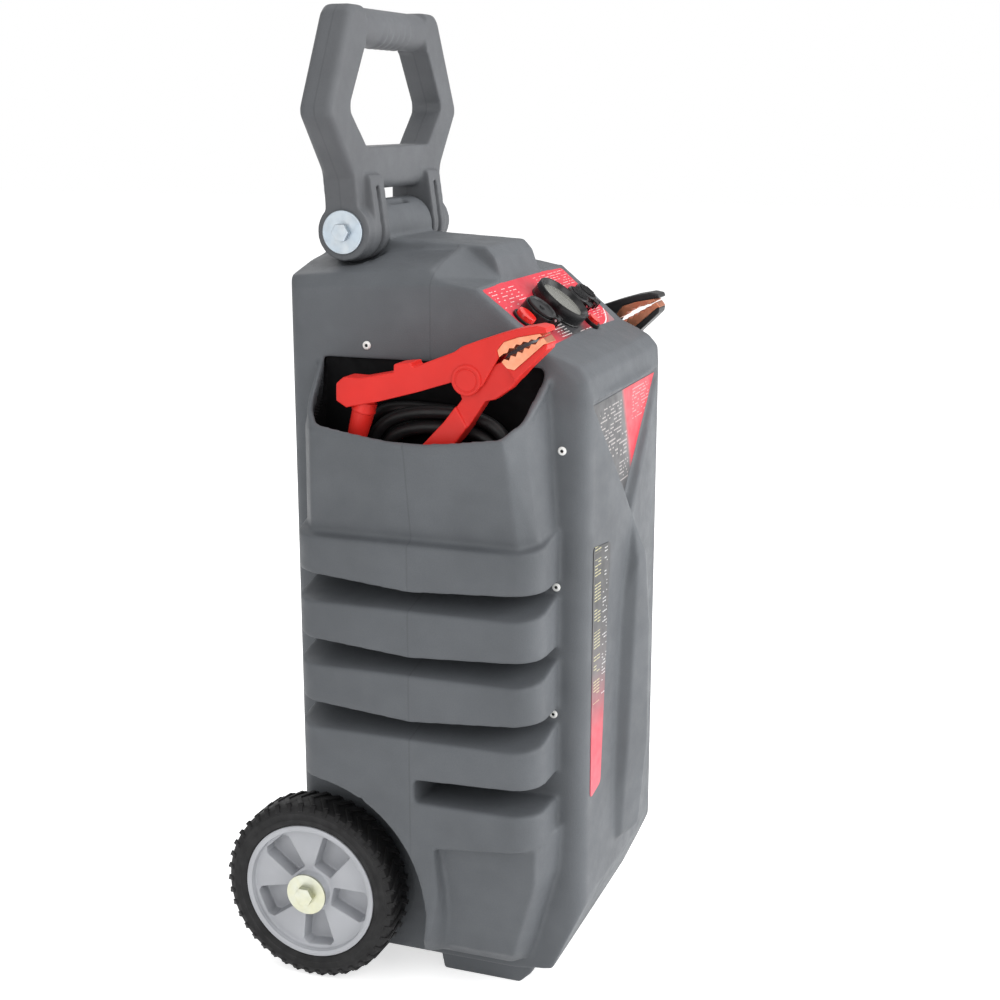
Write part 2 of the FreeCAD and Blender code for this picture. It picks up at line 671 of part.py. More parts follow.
def axle_bracket():
    plate = block(112, 118, 92, 134, 28.5, 126)
    return plate.cut(rod((100, AXLE_Y, AXLE_Z), (1, 0, 0), AXLE_R, 40))


# ---- wheels ----
def axle():
    shaft = rod((-AXLE_END_X, AXLE_Y, AXLE_Z), (1, 0, 0), AXLE_R, 2 * AXLE_END_X)
    for side in (-1, 1):
        shaft = shaft.cut(rod((side * (AXLE_END_X + 1), AXLE_Y, AXLE_Z), (-side, 0, 0), WHEEL_STUD_R, 31))
    return shaft


def tyre():
    section = [(0, RIM_R), (0, 96), (2, 99.5), (6.5, TYRE_R), (TYRE_WIDTH - 6.5, TYRE_R),
               (TYRE_WIDTH - 2, 99.5), (TYRE_WIDTH, 96), (TYRE_WIDTH, RIM_R)]
    corners = [V(WHEEL_INNER_X + a, AXLE_Y + r, AXLE_Z) for a, r in section]
    face = Part.Face(Part.makePolygon(corners + corners[:1]))
    return face.revolve(V(WHEEL_INNER_X, AXLE_Y, AXLE_Z), X_AXIS, 360)


def rim():
    start = WHEEL_INNER_X + 3
    well = ring((start, AXLE_Y, AXLE_Z), (1, 0, 0), RIM_R, RIM_R - 6, TYRE_WIDTH - 6)
    hub = rod((WHEEL_INNER_X, AXLE_Y, AXLE_Z), (1, 0, 0), 22, HUB_END_X - WHEEL_INNER_X)
    disc = rod((168, AXLE_Y, AXLE_Z), (1, 0, 0), RIM_R - 5, 23)
    for k in range(5):
        turn = math.radians(RIM_TURN + 72 * k)
        corners = [(27, -0.42), (27, 0.42), (64, -0.29), (64, 0.29), (68, -0.2), (68, 0.2)]
        window = convex([
            (x, AXLE_Y + r * math.cos(turn + a), AXLE_Z + r * math.sin(turn + a))
            for x in (172, 192) for r, a in corners
        ])
        disc = disc.cut(window)
    wheel = fused([well, hub, disc])
    return wheel.cut(rod((WHEEL_INNER_X - 1, AXLE_Y, AXLE_Z), (1, 0, 0), AXLE_R + RUN, 60))


def hexagon(x, y, z, across, length):
    """A hexagonal head that faces +X."""
    r = across / math.sqrt(3)
    corners = [(x, y + r * math.cos(math.radians(60 * k)), z + r * math.sin(math.radians(60 * k)))
               for k in range(6)]
    return profile(corners, (length, 0, 0))


def wheel_washer():
    return ring((AXLE_END_X, AXLE_Y, AXLE_Z), (1, 0, 0), 23, WHEEL_STUD_R, 3)


def wheel_bolt():
    head = hexagon(AXLE_END_X + 3, AXLE_Y, AXLE_Z, 19, 7)
    return head.fuse(rod((AXLE_END_X - 25, AXLE_Y, AXLE_Z), (1, 0, 0), WHEEL_STUD_R, 28))


# ---- carrying handle ----
def prism_y(points):
    return profile([(x, HANDLE_FRONT_Y, z) for x, z in points],
                   (0, HANDLE_REAR_Y - HANDLE_FRONT_Y, 0))


def handle_frame():
    right = HANDLE_OUTLINE
    blank = prism_y(right + [(-x, z) for x, z in reversed(right)])
    corners = [e for e in blank.Edges if abs(e.tangentAt(e.FirstParameter).y) > 0.99 and e.BoundBox.ZMin > 900]
    blank = blank.makeFillet(LIMB_CORNER_R, corners)
    rims = [e for e in blank.Edges if abs(e.tangentAt(e.FirstParameter).y) < 0.01 and e.BoundBox.ZMin > 850]
    frame = blank.makeFillet(LIMB_EDGE_R, rims)
    hole = prism_y(HANDLE_OPENING + [(-x, z) for x, z in reversed(HANDLE_OPENING)])
    boss = rod((EAR_INNER_X, PIVOT_Y, PIVOT_Z), (1, 0, 0), BOSS_R, EAR_OUTER_X - EAR_INNER_X)
    frame = frame.cut(hole).cut(prism_y([(-61, 800), (61, 800), (61, CROSSBAR_LOW), (-61, CROSSBAR_LOW)]))
    underside = [e for e in frame.Edges if e.Length > 100 and abs(e.CenterOfMass.z - CROSSBAR_LOW) < 0.1]
    frame = frame.makeFillet(CROSSBAR_R, underside)
    frame = frame.cut(block(-GRIP_HALF, GRIP_HALF, HANDLE_FRONT_Y - 1, HANDLE_REAR_Y + 1, 980, 1050))
    trim = block(-130, 130, HANDLE_FRONT_Y - 1, HANDLE_REAR_Y + 1, 800, PIVOT_Z)
    frame = fused([frame.cut(trim), *pair(boss), *pair(front_rib())])
    grip = rod((-GRIP_HALF - 2, GRIP_Y, GRIP_Z), (1, 0, 0), GRIP_R, 2 * GRIP_HALF + 4)
    ridges = [rod((-34 + 15 * k, GRIP_Y - 1.4, GRIP_Z - 1.4), (1, 0, 0), GRIP_R, 6) for k in range(5)]
    frame = fused([frame, grip, *ridges])
    for groove in (rib_groove(), rib_groove(front=False)):
        for side in pair(groove):
            frame = frame.cut(side)
    return frame.cut(rod((-120, PIVOT_Y, PIVOT_Z), (1, 0, 0), SHAFT_R, 240))


def front_rib():
    """The thicker band of an ear; it climbs in front of the limb up to the crossbar."""
    band = rod((EAR_INNER_X, PIVOT_Y, PIVOT_Z), (1, 0, 0), BAND_R, RIB_OUT_X - EAR_INNER_X)
    upper = side_profile(
        [(PIVOT_Y - BAND_R, PIVOT_Z), (PIVOT_Y - BAND_R + 3, 836), (HANDLE_FRONT_Y - 8, 866),
         (HANDLE_FRONT_Y - 6, 871), (HANDLE_FRONT_Y + 6, 872), (HANDLE_FRONT_Y + 20, PIVOT_Z)],
        EAR_INNER_X, RIB_OUT_X)
    return band.fuse(upper)


def rib_groove(front=True):
    """The groove along the middle of a front rib, and on round the front of the band."""
    x0, x1 = (EAR_INNER_X + RIB_OUT_X) / 2 - 4, (EAR_INNER_X + RIB_OUT_X) / 2 + 4
    if front:
        return side_profile([(50, PIVOT_Z), (50, 859), (HANDLE_FRONT_Y - 1, 859), (HANDLE_FRONT_Y - 6, 840),
                             (PIVOT_Y - BAND_R + 6, PIVOT_Z)], x0, x1)
    outer = rod((x0, PIVOT_Y, PIVOT_Z), (1, 0, 0), BAND_R + 4, x1 - x0)
    around = outer.cut(rod((x0, PIVOT_Y, PIVOT_Z), (1, 0, 0), BAND_R - 6, x1 - x0))
    return around.common(block(x0, x1, 40, PIVOT_Y, 760, PIVOT_Z))


def handle_shaft():
    shaft = rod((-EAR_OUTER_X, PIVOT_Y, PIVOT_Z), (1, 0, 0), SHAFT_R, 2 * EAR_OUTER_X)
    for side in (-1, 1):
        shaft = shaft.cut(
            rod((side * (EAR_OUTER_X + 1), PIVOT_Y, PIVOT_Z), (-side, 0, 0), HANDLE_STUD_R, 26))
    return shaft


def handle_washer():
    return ring((EAR_OUTER_X, PIVOT_Y, PIVOT_Z), (1, 0, 0), 22.6, HANDLE_STUD_R, 3)


def handle_bolt():
    head = hexagon(EAR_OUTER_X + 3, PIVOT_Y, PIVOT_Z, 17, 6.5)
    return head.fuse(rod((EAR_OUTER_X - 20, PIVOT_Y, PIVOT_Z), (1, 0, 0), HANDLE_STUD_R, 23))


# ---- clamps ----
def clamp_point(side, along, up, dx=0.0):
    """A point of a clamp from its own outline's coordinates; dx is outward from its middle."""
    y, z = CLAMP_PIVOT[side]
    c, s = math.cos(math.radians(CLAMP_TILT)), math.sin(math.radians(CLAMP_TILT))
    return V(side * (CLAMP_X + dx), y - along * c + up * s, z + along * s + up * c)


def clamp_slice(side, outline, dx0, dx1):
    corners = [clamp_point(side, a, u, dx0) for a, u in outline]
    return profile(corners, (side * (dx1 - dx0), 0, 0))


def clamp_box(side, a0, a1, u0, u1, half):
    return clamp_slice(side, [(a0, u0), (a1, u0), (a1, u1), (a0, u1)], -half, half)


def clamp_bore(side, radius):
    return Part.makeCylinder(radius, 40, clamp_point(side, 0, 0, -20), V(side, 0, 0))


def upper_lever(side):
    whole = clamp_slice(side, LEVER_UPPER, -CLAMP_HALF, CLAMP_HALF)
    slot = clamp_box(side, -25, 42, -40, 16.5, CHEEK_IN)
    foot_end, boot_end = clamp_point(side, -110, 36), clamp_point(side, -140, 7)
    along = boot_end - foot_end
    boot = Part.makeCone(11, 9, along.Length, foot_end, along)
    lever = whole.cut(slot).cut(clamp_bore(side, PIVOT_PIN_R))
    lever = lever.fuse(boot)
    return lever.cut(Part.makeCylinder(CABLE_R, 30, boot_end - along.normalize() * 20, along))


def lower_lever(side):
    wide = clamp_slice(side, LEVER_LOWER, -CLAMP_HALF + 0.5, CLAMP_HALF - 0.5)
    narrow = clamp_slice(side, LEVER_LOWER, -LOWER_HALF, LOWER_HALF)
    waist = clamp_box(side, -24, 44, -80, 60, 40)
    lever = fused([wide.cut(waist), narrow])
    spring_room = Part.makeCylinder(10, 9.6, clamp_point(side, 0, 0, -4.8), V(side, 0, 0))
    return lever.cut(spring_room).cut(clamp_bore(side, PIVOT_PIN_R + RUN))


def jaw(side, outline):
    return clamp_slice(side, outline, -CLAMP_HALF + 1.0, CLAMP_HALF - 1.0)


def clamp_pivot(side):
    pin = Part.makeCylinder(PIVOT_PIN_R, 2 * CLAMP_HALF, clamp_point(side, 0, 0, -CLAMP_HALF), V(side, 0, 0))
    near = Part.makeCylinder(15.5, 2.0, clamp_point(side, 0, 0, CLAMP_HALF), V(side, 0, 0))
    return pin.fuse(near)


def clamp_spring(side):
    start = clamp_point(side, 0, 0, -4.4)
    return Part.makeCylinder(9, 8.8, start, V(side, 0, 0)).cut(
        Part.makeCylinder(PIVOT_PIN_R, 8.8, start, V(side, 0, 0)))


# ---- cables ----
def oval(x, long, high):
    flat = Part.Ellipse(V(x, COIL_MIDDLE[0] + long, COIL_MIDDLE[1]),
                        V(x, COIL_MIDDLE[0], COIL_MIDDLE[1] + high),
                        V(x, COIL_MIDDLE[0], COIL_MIDDLE[1]))
    return Part.Face(Part.Wire([flat.toShape()]))


def cable_coil(side):
    width = COIL_X1 - COIL_X0
    outer = oval(COIL_X0, COIL_LONG, COIL_HIGH).extrude(V(width, 0, 0))
    inner = oval(COIL_X0, COIL_LONG - COIL_THICK, COIL_HIGH - COIL_THICK).extrude(V(width, 0, 0))
    tail = rod(((COIL_X0 + COIL_X1) / 2, GLAND_Y, GLAND_TOP), (0, 0, 1), CABLE_R, 80)
    coil = fused([outer.cut(inner), tail])
    return coil if side > 0 else mirrored(coil)


def cable_gland(side):
    x = side * (COIL_X0 + COIL_X1) / 2
    nut = rod((x, GLAND_Y, LINER_FLOOR), (0, 0, 1), 13, 8)
    return nut.fuse(rod((x, GLAND_Y, LINER_FLOOR + 8), (0, 0, 1), 10, GLAND_TOP - LINER_FLOOR - 8))


def arc_route(points):
    """A wire of straight runs joined by arcs as large as the runs allow; prints the radii."""
    edges, radii = [], []
    start = points[0]
    for before, corner, after in zip(points, points[1:], points[2:]):
        into, out = (corner - before), (after - corner)
        run = 0.45 * min(into.Length, out.Length)
        half_turn = into.getAngle(out) / 2
        a = corner - V(into).normalize() * run
        b = corner + V(out).normalize() * run
        bisect = (V(out).normalize() - V(into).normalize()).normalize()
        radius = run / math.tan(half_turn)
        middle = corner + bisect * (math.hypot(run, radius) - radius)
        edges.append(Part.LineSegment(start, a).toShape())
        edges.append(Part.Arc(a, middle, b).toShape())
        radii.append(radius)
        start = b
    edges.append(Part.LineSegment(start, points[-1]).toShape())
    print("radii", [round(r, 1) for r in radii])
    return Part.Wire(edges)


def cable(side):
    boot_end = clamp_point(side, -140, 7)
    pull = (boot_end - clamp_point(side, -110, 36)).normalize()
    first = boot_end - pull * 12
    knee = boot_end + pull * 16
    shift = CLAMP_PIVOT[side][0] + 75.0
    route = [first, knee, V(side * 170, 60 + 0.4 * shift, 578), V(side * 154, 50 + 0.2 * shift, 563)]
    wire = arc_route(route)
    circle = Part.Wire(Part.Circle(first, pull, CABLE_R).toShape())
    tube = wire.makePipeShell([circle], True, False)
    print("cable volume", round(tube.Volume), "section x length", round(math.pi * CABLE_R ** 2 * wire.Length))
    return tube


if __name__ == "__main__":
    save("body_shell", body_shell())
    save("base_plate", base_plate())
    save("rear_cover", rear_cover())
    save("cover_screws", *cover_screws())
    save("shell_rivets", *shell_rivets())
    save("panel_label", panel_label())
    save("front_label", front_label())
    save("strip_label", strip_label())
    save("meter_case", meter_case())
    save("meter_lens", meter_lens())
    save("meter_dial", meter_dial())
    save("meter_needle", meter_needle())
    save("charge_socket", socket("charge_socket", **CHARGE))
    save("charge_socket_cap", cap("charge_socket", 17.0, 12.3, 15.5, -1, CHARGE["reach"], CHARGE["hinge_z"], False))
    for name in ("inner", "outer"):
        save("aux_socket_" + name, socket("aux_socket_" + name, **AUX))
        save("aux_cap_" + name, cap("aux_socket_" + name, 13.5, 4.3, 12.0, -1, AUX["reach"], AUX["hinge_z"], True))
    save("cap_hinge_pins", *cap_hinge_pins())
    save("button_rings", *button_rings())
    save("power_button", button("power_button", 10.5, -4.0, 9.0))
    save("test_button", button("test_button", 6.7, -4.0, 9.0))
    liner = pocket_liner()
    save("pocket_liner_left", mirrored(liner))
    save("pocket_liner_right", liner)
    front_battery, rear_battery = batteries()
    save("battery_front", front_battery)
    save("battery_rear", rear_battery)
    save("battery_posts", *battery_posts())
    save("bus_bars", *bus_bars())
    save("inner_frame", inner_frame())
    save("hold_down_strap", hold_down_strap())
    save("charger_module", charger_module())
    save("changeover_contactor", changeover_contactor())
    save("main_fuse", main_fuse())
    save("cable_glands", cable_gland(-1), cable_gland(1))
    save("axle", axle())
    save("axle_brackets", *pair(axle_bracket()))
    save("right_rim", rim())
    save("left_rim", mirrored(rim()))
    save("right_tyre", tyre())
    save("left_tyre", mirrored(tyre()))
    save("wheel_washers", *pair(wheel_washer()))
    save("wheel_bolts", *pair(wheel_bolt()))
    save("handle_frame", handle_frame())
    save("handle_shaft", handle_shaft())
    save("handle_washers", *pair(handle_washer()))
    save("handle_bolts", *pair(handle_bolt()))
    for colour, side in (("red", -1), ("black", 1)):
        save(colour + "_lever_upper", upper_lever(side))
        save(colour + "_lever_lower", lower_lever(side))
        save(colour + "_jaw_upper", jaw(side, JAW_UPPER))
        save(colour + "_jaw_lower", jaw(side, JAW_LOWER))
        save(colour + "_cable", cable(side))
        save(colour + "_cable_coil", cable_coil(side))
    save("clamp_pivots", clamp_pivot(-1), clamp_pivot(1))
    save("clamp_springs", clamp_spring(-1), clamp_spring(1))
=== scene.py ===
import math
import random

import bpy
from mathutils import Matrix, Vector
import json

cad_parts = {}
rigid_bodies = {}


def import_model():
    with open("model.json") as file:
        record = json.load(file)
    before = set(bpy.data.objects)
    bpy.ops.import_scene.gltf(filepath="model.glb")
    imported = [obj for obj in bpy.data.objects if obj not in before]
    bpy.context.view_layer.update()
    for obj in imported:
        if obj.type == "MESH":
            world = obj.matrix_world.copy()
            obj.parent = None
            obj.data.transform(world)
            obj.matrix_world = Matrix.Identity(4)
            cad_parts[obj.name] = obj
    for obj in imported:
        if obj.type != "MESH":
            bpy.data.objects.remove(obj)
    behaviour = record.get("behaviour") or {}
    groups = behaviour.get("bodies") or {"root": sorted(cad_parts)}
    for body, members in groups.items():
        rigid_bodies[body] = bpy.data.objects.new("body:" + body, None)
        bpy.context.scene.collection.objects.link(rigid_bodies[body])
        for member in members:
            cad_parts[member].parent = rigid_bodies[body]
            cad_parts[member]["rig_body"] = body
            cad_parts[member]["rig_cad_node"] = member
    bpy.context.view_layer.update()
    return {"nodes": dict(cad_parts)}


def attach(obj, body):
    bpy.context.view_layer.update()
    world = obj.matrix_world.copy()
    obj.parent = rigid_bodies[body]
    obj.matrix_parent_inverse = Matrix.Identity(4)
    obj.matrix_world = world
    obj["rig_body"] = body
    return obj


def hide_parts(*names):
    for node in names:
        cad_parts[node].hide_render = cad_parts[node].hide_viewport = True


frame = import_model()
nodes = frame["nodes"]
random.seed(7)
MM = 0.001

# ---- camera ----
camera_data = bpy.data.cameras.new("camera")
camera_data.lens = 58.39
camera_data.sensor_width = 36.0
camera = bpy.data.objects.new("camera", camera_data)
bpy.context.scene.collection.objects.link(camera)
camera.location = (-1.654, -0.650, 0.935)
camera.rotation_euler = (math.radians(90 - 13.48), 0, math.radians(-69.72))
bpy.context.scene.camera = camera
bpy.context.scene.view_settings.view_transform = "Standard"


# ---- working helpers ----
def only(obj):
    """Select this object alone and make it active."""
    bpy.ops.object.select_all(action="DESELECT")
    obj.hide_set(False)
    obj.select_set(True)
    bpy.context.view_layer.objects.active = obj
    return obj


def apply_modifier(obj, kind, **settings):
    only(obj)
    modifier = obj.modifiers.new(kind.lower(), kind)
    for key, value in settings.items():
        setattr(modifier, key, value)
    bpy.ops.object.modifier_apply(modifier=modifier.name)
    return obj


def smooth(obj, angle=35):
    only(obj)
    bpy.ops.object.shade_smooth_by_angle(angle=math.radians(angle))
    return obj


def edit(obj):
    only(obj)
    bpy.ops.object.mode_set(mode="EDIT")
    bpy.ops.mesh.select_all(action="DESELECT")
    bpy.ops.object.mode_set(mode="OBJECT")
    return obj


def pick_faces(obj, test):
    """Select the faces whose centre and normal pass, leaving edit mode on."""
    edit(obj)
    for face in obj.data.polygons:
        face.select = test(face.center, face.normal)
    bpy.ops.object.mode_set(mode="EDIT")
    bpy.ops.mesh.select_mode(type="FACE")


def done(obj):
    """Leave edit mode, picking vertices again: a bare ring can't be extruded while faces are picked."""
    bpy.ops.mesh.select_mode(type="VERT")
    bpy.ops.object.mode_set(mode="OBJECT")
    return obj


def clean(obj, distance=0.00001):
    only(obj)
    bpy.ops.object.mode_set(mode="EDIT")
    bpy.ops.mesh.select_all(action="SELECT")
    bpy.ops.mesh.remove_doubles(threshold=distance)
    bpy.ops.mesh.normals_make_consistent(inside=False)
    bpy.ops.object.mode_set(mode="OBJECT")
    return obj


def settle(obj):
    """Put the object's place into its mesh."""
    only(obj)
    bpy.ops.object.transform_apply(location=True, rotation=True, scale=True)
    return obj


def joined(objects, name):
    bpy.ops.object.select_all(action="DESELECT")
    for obj in objects:
        obj.select_set(True)
    bpy.context.view_layer.objects.active = objects[0]
    if len(objects) > 1:
        bpy.ops.object.join()
    objects[0].name = name
    return objects[0]


def copy_of(node, name):
    """A welded copy of a CAD node's mesh, to be worked on."""
    obj = nodes[node].copy()
    obj.data = nodes[node].data.copy()
    obj.parent = None
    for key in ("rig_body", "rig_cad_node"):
        if key in obj:
            del obj[key]
    bpy.context.scene.collection.objects.link(obj)
    obj.name = name
    only(obj)
    bpy.ops.object.mode_set(mode="EDIT")
    bpy.ops.mesh.select_all(action="SELECT")
    bpy.ops.mesh.remove_doubles(threshold=0.00002)
    bpy.ops.object.mode_set(mode="OBJECT")
    return obj


def paint(obj, material):
    obj.data.materials.clear()
    obj.data.materials.append(material)
    return obj


def place(obj, body, slot, material, *stands_for):
    """Finish a piece: material, body it moves with, and the CAD nodes it stands for."""
    paint(obj, material)
    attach(obj, body)
    if stands_for:
        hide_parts(*stands_for)
    return obj


def softened(node, name, voxel, rounds, triangles, extras=()):
    """A moulded version of a CAD node: remeshed with any extras, smoothed and thinned."""
    obj = joined([copy_of(node, name), *extras], name)
    apply_modifier(obj, "REMESH", mode="VOXEL", voxel_size=voxel)
    if rounds:
        apply_modifier(obj, "SMOOTH", factor=0.5, iterations=rounds)
    count = sum(len(p.vertices) - 2 for p in obj.data.polygons)
    if count > triangles:
        apply_modifier(obj, "DECIMATE", ratio=triangles / count)
    only(obj)
    bpy.ops.object.shade_smooth()
    return obj


# ---- materials ----
class Recipe:
    """A material being written: short names for the nodes that the finishes use."""

    def __init__(self, name, colour, roughness, **sockets):
        self.material = bpy.data.materials.new(name)
        self.material.use_nodes = True
        self.tree = self.material.node_tree
        self.shader = self.tree.nodes["Principled BSDF"]
        self.shader.inputs["Base Color"].default_value = (*colour, 1)
        self.shader.inputs["Roughness"].default_value = roughness
        for key, value in sockets.items():
            self.shader.inputs[key.replace("_", " ")].default_value = value
        self.place = None

    def node(self, kind, **settings):
        made = self.tree.nodes.new("ShaderNode" + kind)
        for key, value in settings.items():
            setattr(made, key, value)
        return made

    def link(self, source, target):
        if isinstance(source, bpy.types.NodeSocket):
            self.tree.links.new(source, target)
        else:
            target.default_value = source

    def where(self):
        """Object coordinates, in metres."""
        if self.place is None:
            self.place = self.node("TexCoord").outputs["Object"]
        return self.place

    def turned(self, location=(0, 0, 0), rotation=(0, 0, 0), scale=(1, 1, 1)):
        mapping = self.node("Mapping")
        mapping.inputs["Location"].default_value = location
        mapping.inputs["Rotation"].default_value = rotation
        mapping.inputs["Scale"].default_value = scale
        self.link(self.where(), mapping.inputs["Vector"])
        return mapping.outputs["Vector"]

    def axis(self, letter, vector=None):
        split = self.node("SeparateXYZ")
        self.link(vector or self.where(), split.inputs["Vector"])
        return split.outputs[letter]

    def sum(self, operation, a, b=0.0, c=None, clamp=False):
        made = self.node("Math", operation=operation, use_clamp=clamp)
        self.link(a, made.inputs[0])
        self.link(b, made.inputs[1])
        if c is not None:
            self.link(c, made.inputs[2])
        return made.outputs[0]

    def noise(self, scale, detail=2.0, roughness=0.5, vector=None, distortion=0.0):
        made = self.node("TexNoise")
        made.inputs["Scale"].default_value = scale
        made.inputs["Detail"].default_value = detail
        made.inputs["Roughness"].default_value = roughness
        made.inputs["Distortion"].default_value = distortion
        self.link(vector or self.where(), made.inputs["Vector"])
        return made.outputs["Fac"]

    def ramp(self, value, *stops):
        made = self.node("ValToRGB")
        elements = made.color_ramp.elements
        while len(elements) < len(stops):
            elements.new(0.5)
        for element, (position, colour) in zip(elements, stops):
            element.position = position
            element.color = (*colour, 1) if len(colour) == 3 else colour
        self.link(value, made.inputs["Fac"])
        return made.outputs["Color"]

    def between(self, value, low, high, out_low=0.0, out_high=1.0):
        made = self.node("MapRange")
        self.link(value, made.inputs["Value"])
        for key, number in zip(("From Min", "From Max", "To Min", "To Max"), (low, high, out_low, out_high)):
            made.inputs[key].default_value = number
        return made.outputs["Result"]

    def mix(self, factor, a, b):
        made = self.node("Mix", data_type="RGBA")
        self.link(factor, made.inputs["Factor"])
        for source, target in ((a, made.inputs[6]), (b, made.inputs[7])):
            if isinstance(source, tuple):
                target.default_value = (*source, 1)
            else:
                self.link(source, target)
        return made.outputs[2]

    def bump(self, height, strength, distance, under=None):
        made = self.node("Bump")
        made.inputs["Strength"].default_value = strength
        made.inputs["Distance"].default_value = distance
        self.link(height, made.inputs["Height"])
        if under is not None:
            self.link(under, made.inputs["Normal"])
        return made.outputs["Normal"]

    def colour(self, source):
        self.link(source, self.shader.inputs["Base Color"])

    def rough(self, source):
        self.link(source, self.shader.inputs["Roughness"])

    def surface(self, source):
        self.link(source, self.shader.inputs["Normal"])


def moulded_plastic(name, colour, seam=None):
    """Matt rotomoulded plastic: fine grain, faint clouding, and a raised mould line darkened with painted
    shade.
    """
    r = Recipe(name, colour, 0.6, Specular_IOR_Level=0.35)
    cloud = r.noise(9, 3, 0.6)
    darker = tuple(c * 0.9 for c in colour)
    lighter = tuple(c * 1.1 for c in colour)
    speck = r.noise(900, 2, 0.6)
    tint = r.mix(r.between(cloud, 0.35, 0.65), darker, lighter)
    tint = r.mix(r.between(speck, 0.3, 0.7, 0.0, 0.35), tint, tuple(c * 0.72 for c in colour))
    r.rough(r.between(r.noise(40, 4, 0.6), 0.3, 0.7, 0.5, 0.68))
    normal = r.bump(r.noise(700, 3, 0.65), 0.35, 0.0006)
    normal = r.bump(r.noise(60, 2, 0.5), 0.12, 0.002, normal)
    if seam is not None:
        away = r.sum("ABSOLUTE", r.sum("SUBTRACT", r.axis("Y"), seam))
        line = r.between(away, 0.0004, 0.0013, 1.0, 0.0)
        # painted shade: the colour is darkened along the mould line, for the shade in its crease
        tint = r.mix(r.sum("MULTIPLY", line, 0.22), tint, tuple(c * 0.4 for c in colour))
        normal = r.bump(line, 0.3, 0.0004, normal)
    r.colour(tint)
    r.surface(normal)
    return r.material


def plain_plastic(name, colour, roughness, grain=300, depth=0.0002, **sockets):
    """Injection-moulded plastic: slight tone change, fine surface."""
    r = Recipe(name, colour, roughness, **sockets)
    r.colour(r.mix(r.between(r.noise(14, 3), 0.3, 0.7), tuple(c * 0.9 for c in colour),
                   tuple(min(1.0, c * 1.1) for c in colour)))
    r.rough(r.between(r.noise(70, 4), 0.3, 0.7, roughness * 0.85, min(1.0, roughness * 1.15)))
    r.surface(r.bump(r.noise(grain, 3), 0.25, depth))
    return r.material


def plated_metal(name, colour, roughness, cast=(0.9, 0.95, 1.0)):
    """Zinc plate: uneven shine and a faint colour cast in patches."""
    r = Recipe(name, colour, roughness, Metallic=1.0)
    patches = r.noise(60, 4, 0.6)
    r.colour(r.mix(r.between(patches, 0.35, 0.65), colour, tuple(a * b for a, b in zip(colour, cast))))
    r.rough(r.between(r.noise(160, 4), 0.3, 0.7, roughness * 0.75, roughness * 1.35))
    r.surface(r.bump(r.noise(500, 3), 0.3, 0.0002))
    return r.material


def rubber(name, colour, roughness=0.7):
    r = Recipe(name, colour, roughness, Specular_IOR_Level=0.3)
    dust = r.between(r.noise(35, 5, 0.65), 0.45, 0.8)
    r.colour(r.mix(dust, colour, tuple(c * 1.7 + 0.002 for c in colour)))
    r.rough(r.between(r.noise(80, 4), 0.3, 0.7, roughness * 0.85, min(1.0, roughness * 1.2)))
    r.surface(r.bump(r.noise(420, 4, 0.6), 0.4, 0.0004))
    return r.material


RED_INK = (0.62, 0.022, 0.045)
DARK_INK = (0.04, 0.04, 0.043)
PALE_INK = (0.8, 0.72, 0.7)


def rows(r, x, y, box, pitch, line, length, fill):
    """Mask of short printed lines in a box: x0, x1, y0, y1, all in millimetres."""
    row = r.sum("FLOOR", r.sum("DIVIDE", y, pitch))
    cell = r.sum("FLOOR", r.sum("DIVIDE", x, length))
    spot = r.node("CombineXYZ")
    r.link(cell, spot.inputs[0])
    r.link(row, spot.inputs[1])
    chance = r.node("TexWhiteNoise", noise_dimensions="3D")
    r.link(spot.outputs[0], chance.inputs["Vector"])
    mask = r.sum("LESS_THAN", chance.outputs["Value"], fill)
    mask = r.sum("MULTIPLY", mask, r.sum("LESS_THAN", r.sum("FRACT", r.sum("DIVIDE", y, pitch)), line))
    mask = r.sum("MULTIPLY", mask, r.sum("LESS_THAN", r.sum("FRACT", r.sum("DIVIDE", x, length)), 0.86))
    for value, low, high in ((x, box[0], box[1]), (y, box[2], box[3])):
        mask = r.sum("MULTIPLY", mask, r.sum("GREATER_THAN", value, low))
        mask = r.sum("MULTIPLY", mask, r.sum("LESS_THAN", value, high))
    return mask


def distance_from(r, x, y, centre, radii=(1.0, 1.0)):
    a = r.sum("DIVIDE", r.sum("SUBTRACT", x, centre[0]), radii[0])
    b = r.sum("DIVIDE", r.sum("SUBTRACT", y, centre[1]), radii[1])
    return r.sum("SQRT", r.sum("ADD", r.sum("MULTIPLY", a, a), r.sum("MULTIPLY", b, b)))


def film(name):
    """A glossy printed film; each print sets its own millimetre coordinates."""
    r = Recipe(name, RED_INK, 0.34, Specular_IOR_Level=0.4)
    r.rough(r.between(r.noise(90, 3), 0.3, 0.7, 0.28, 0.42))
    return r


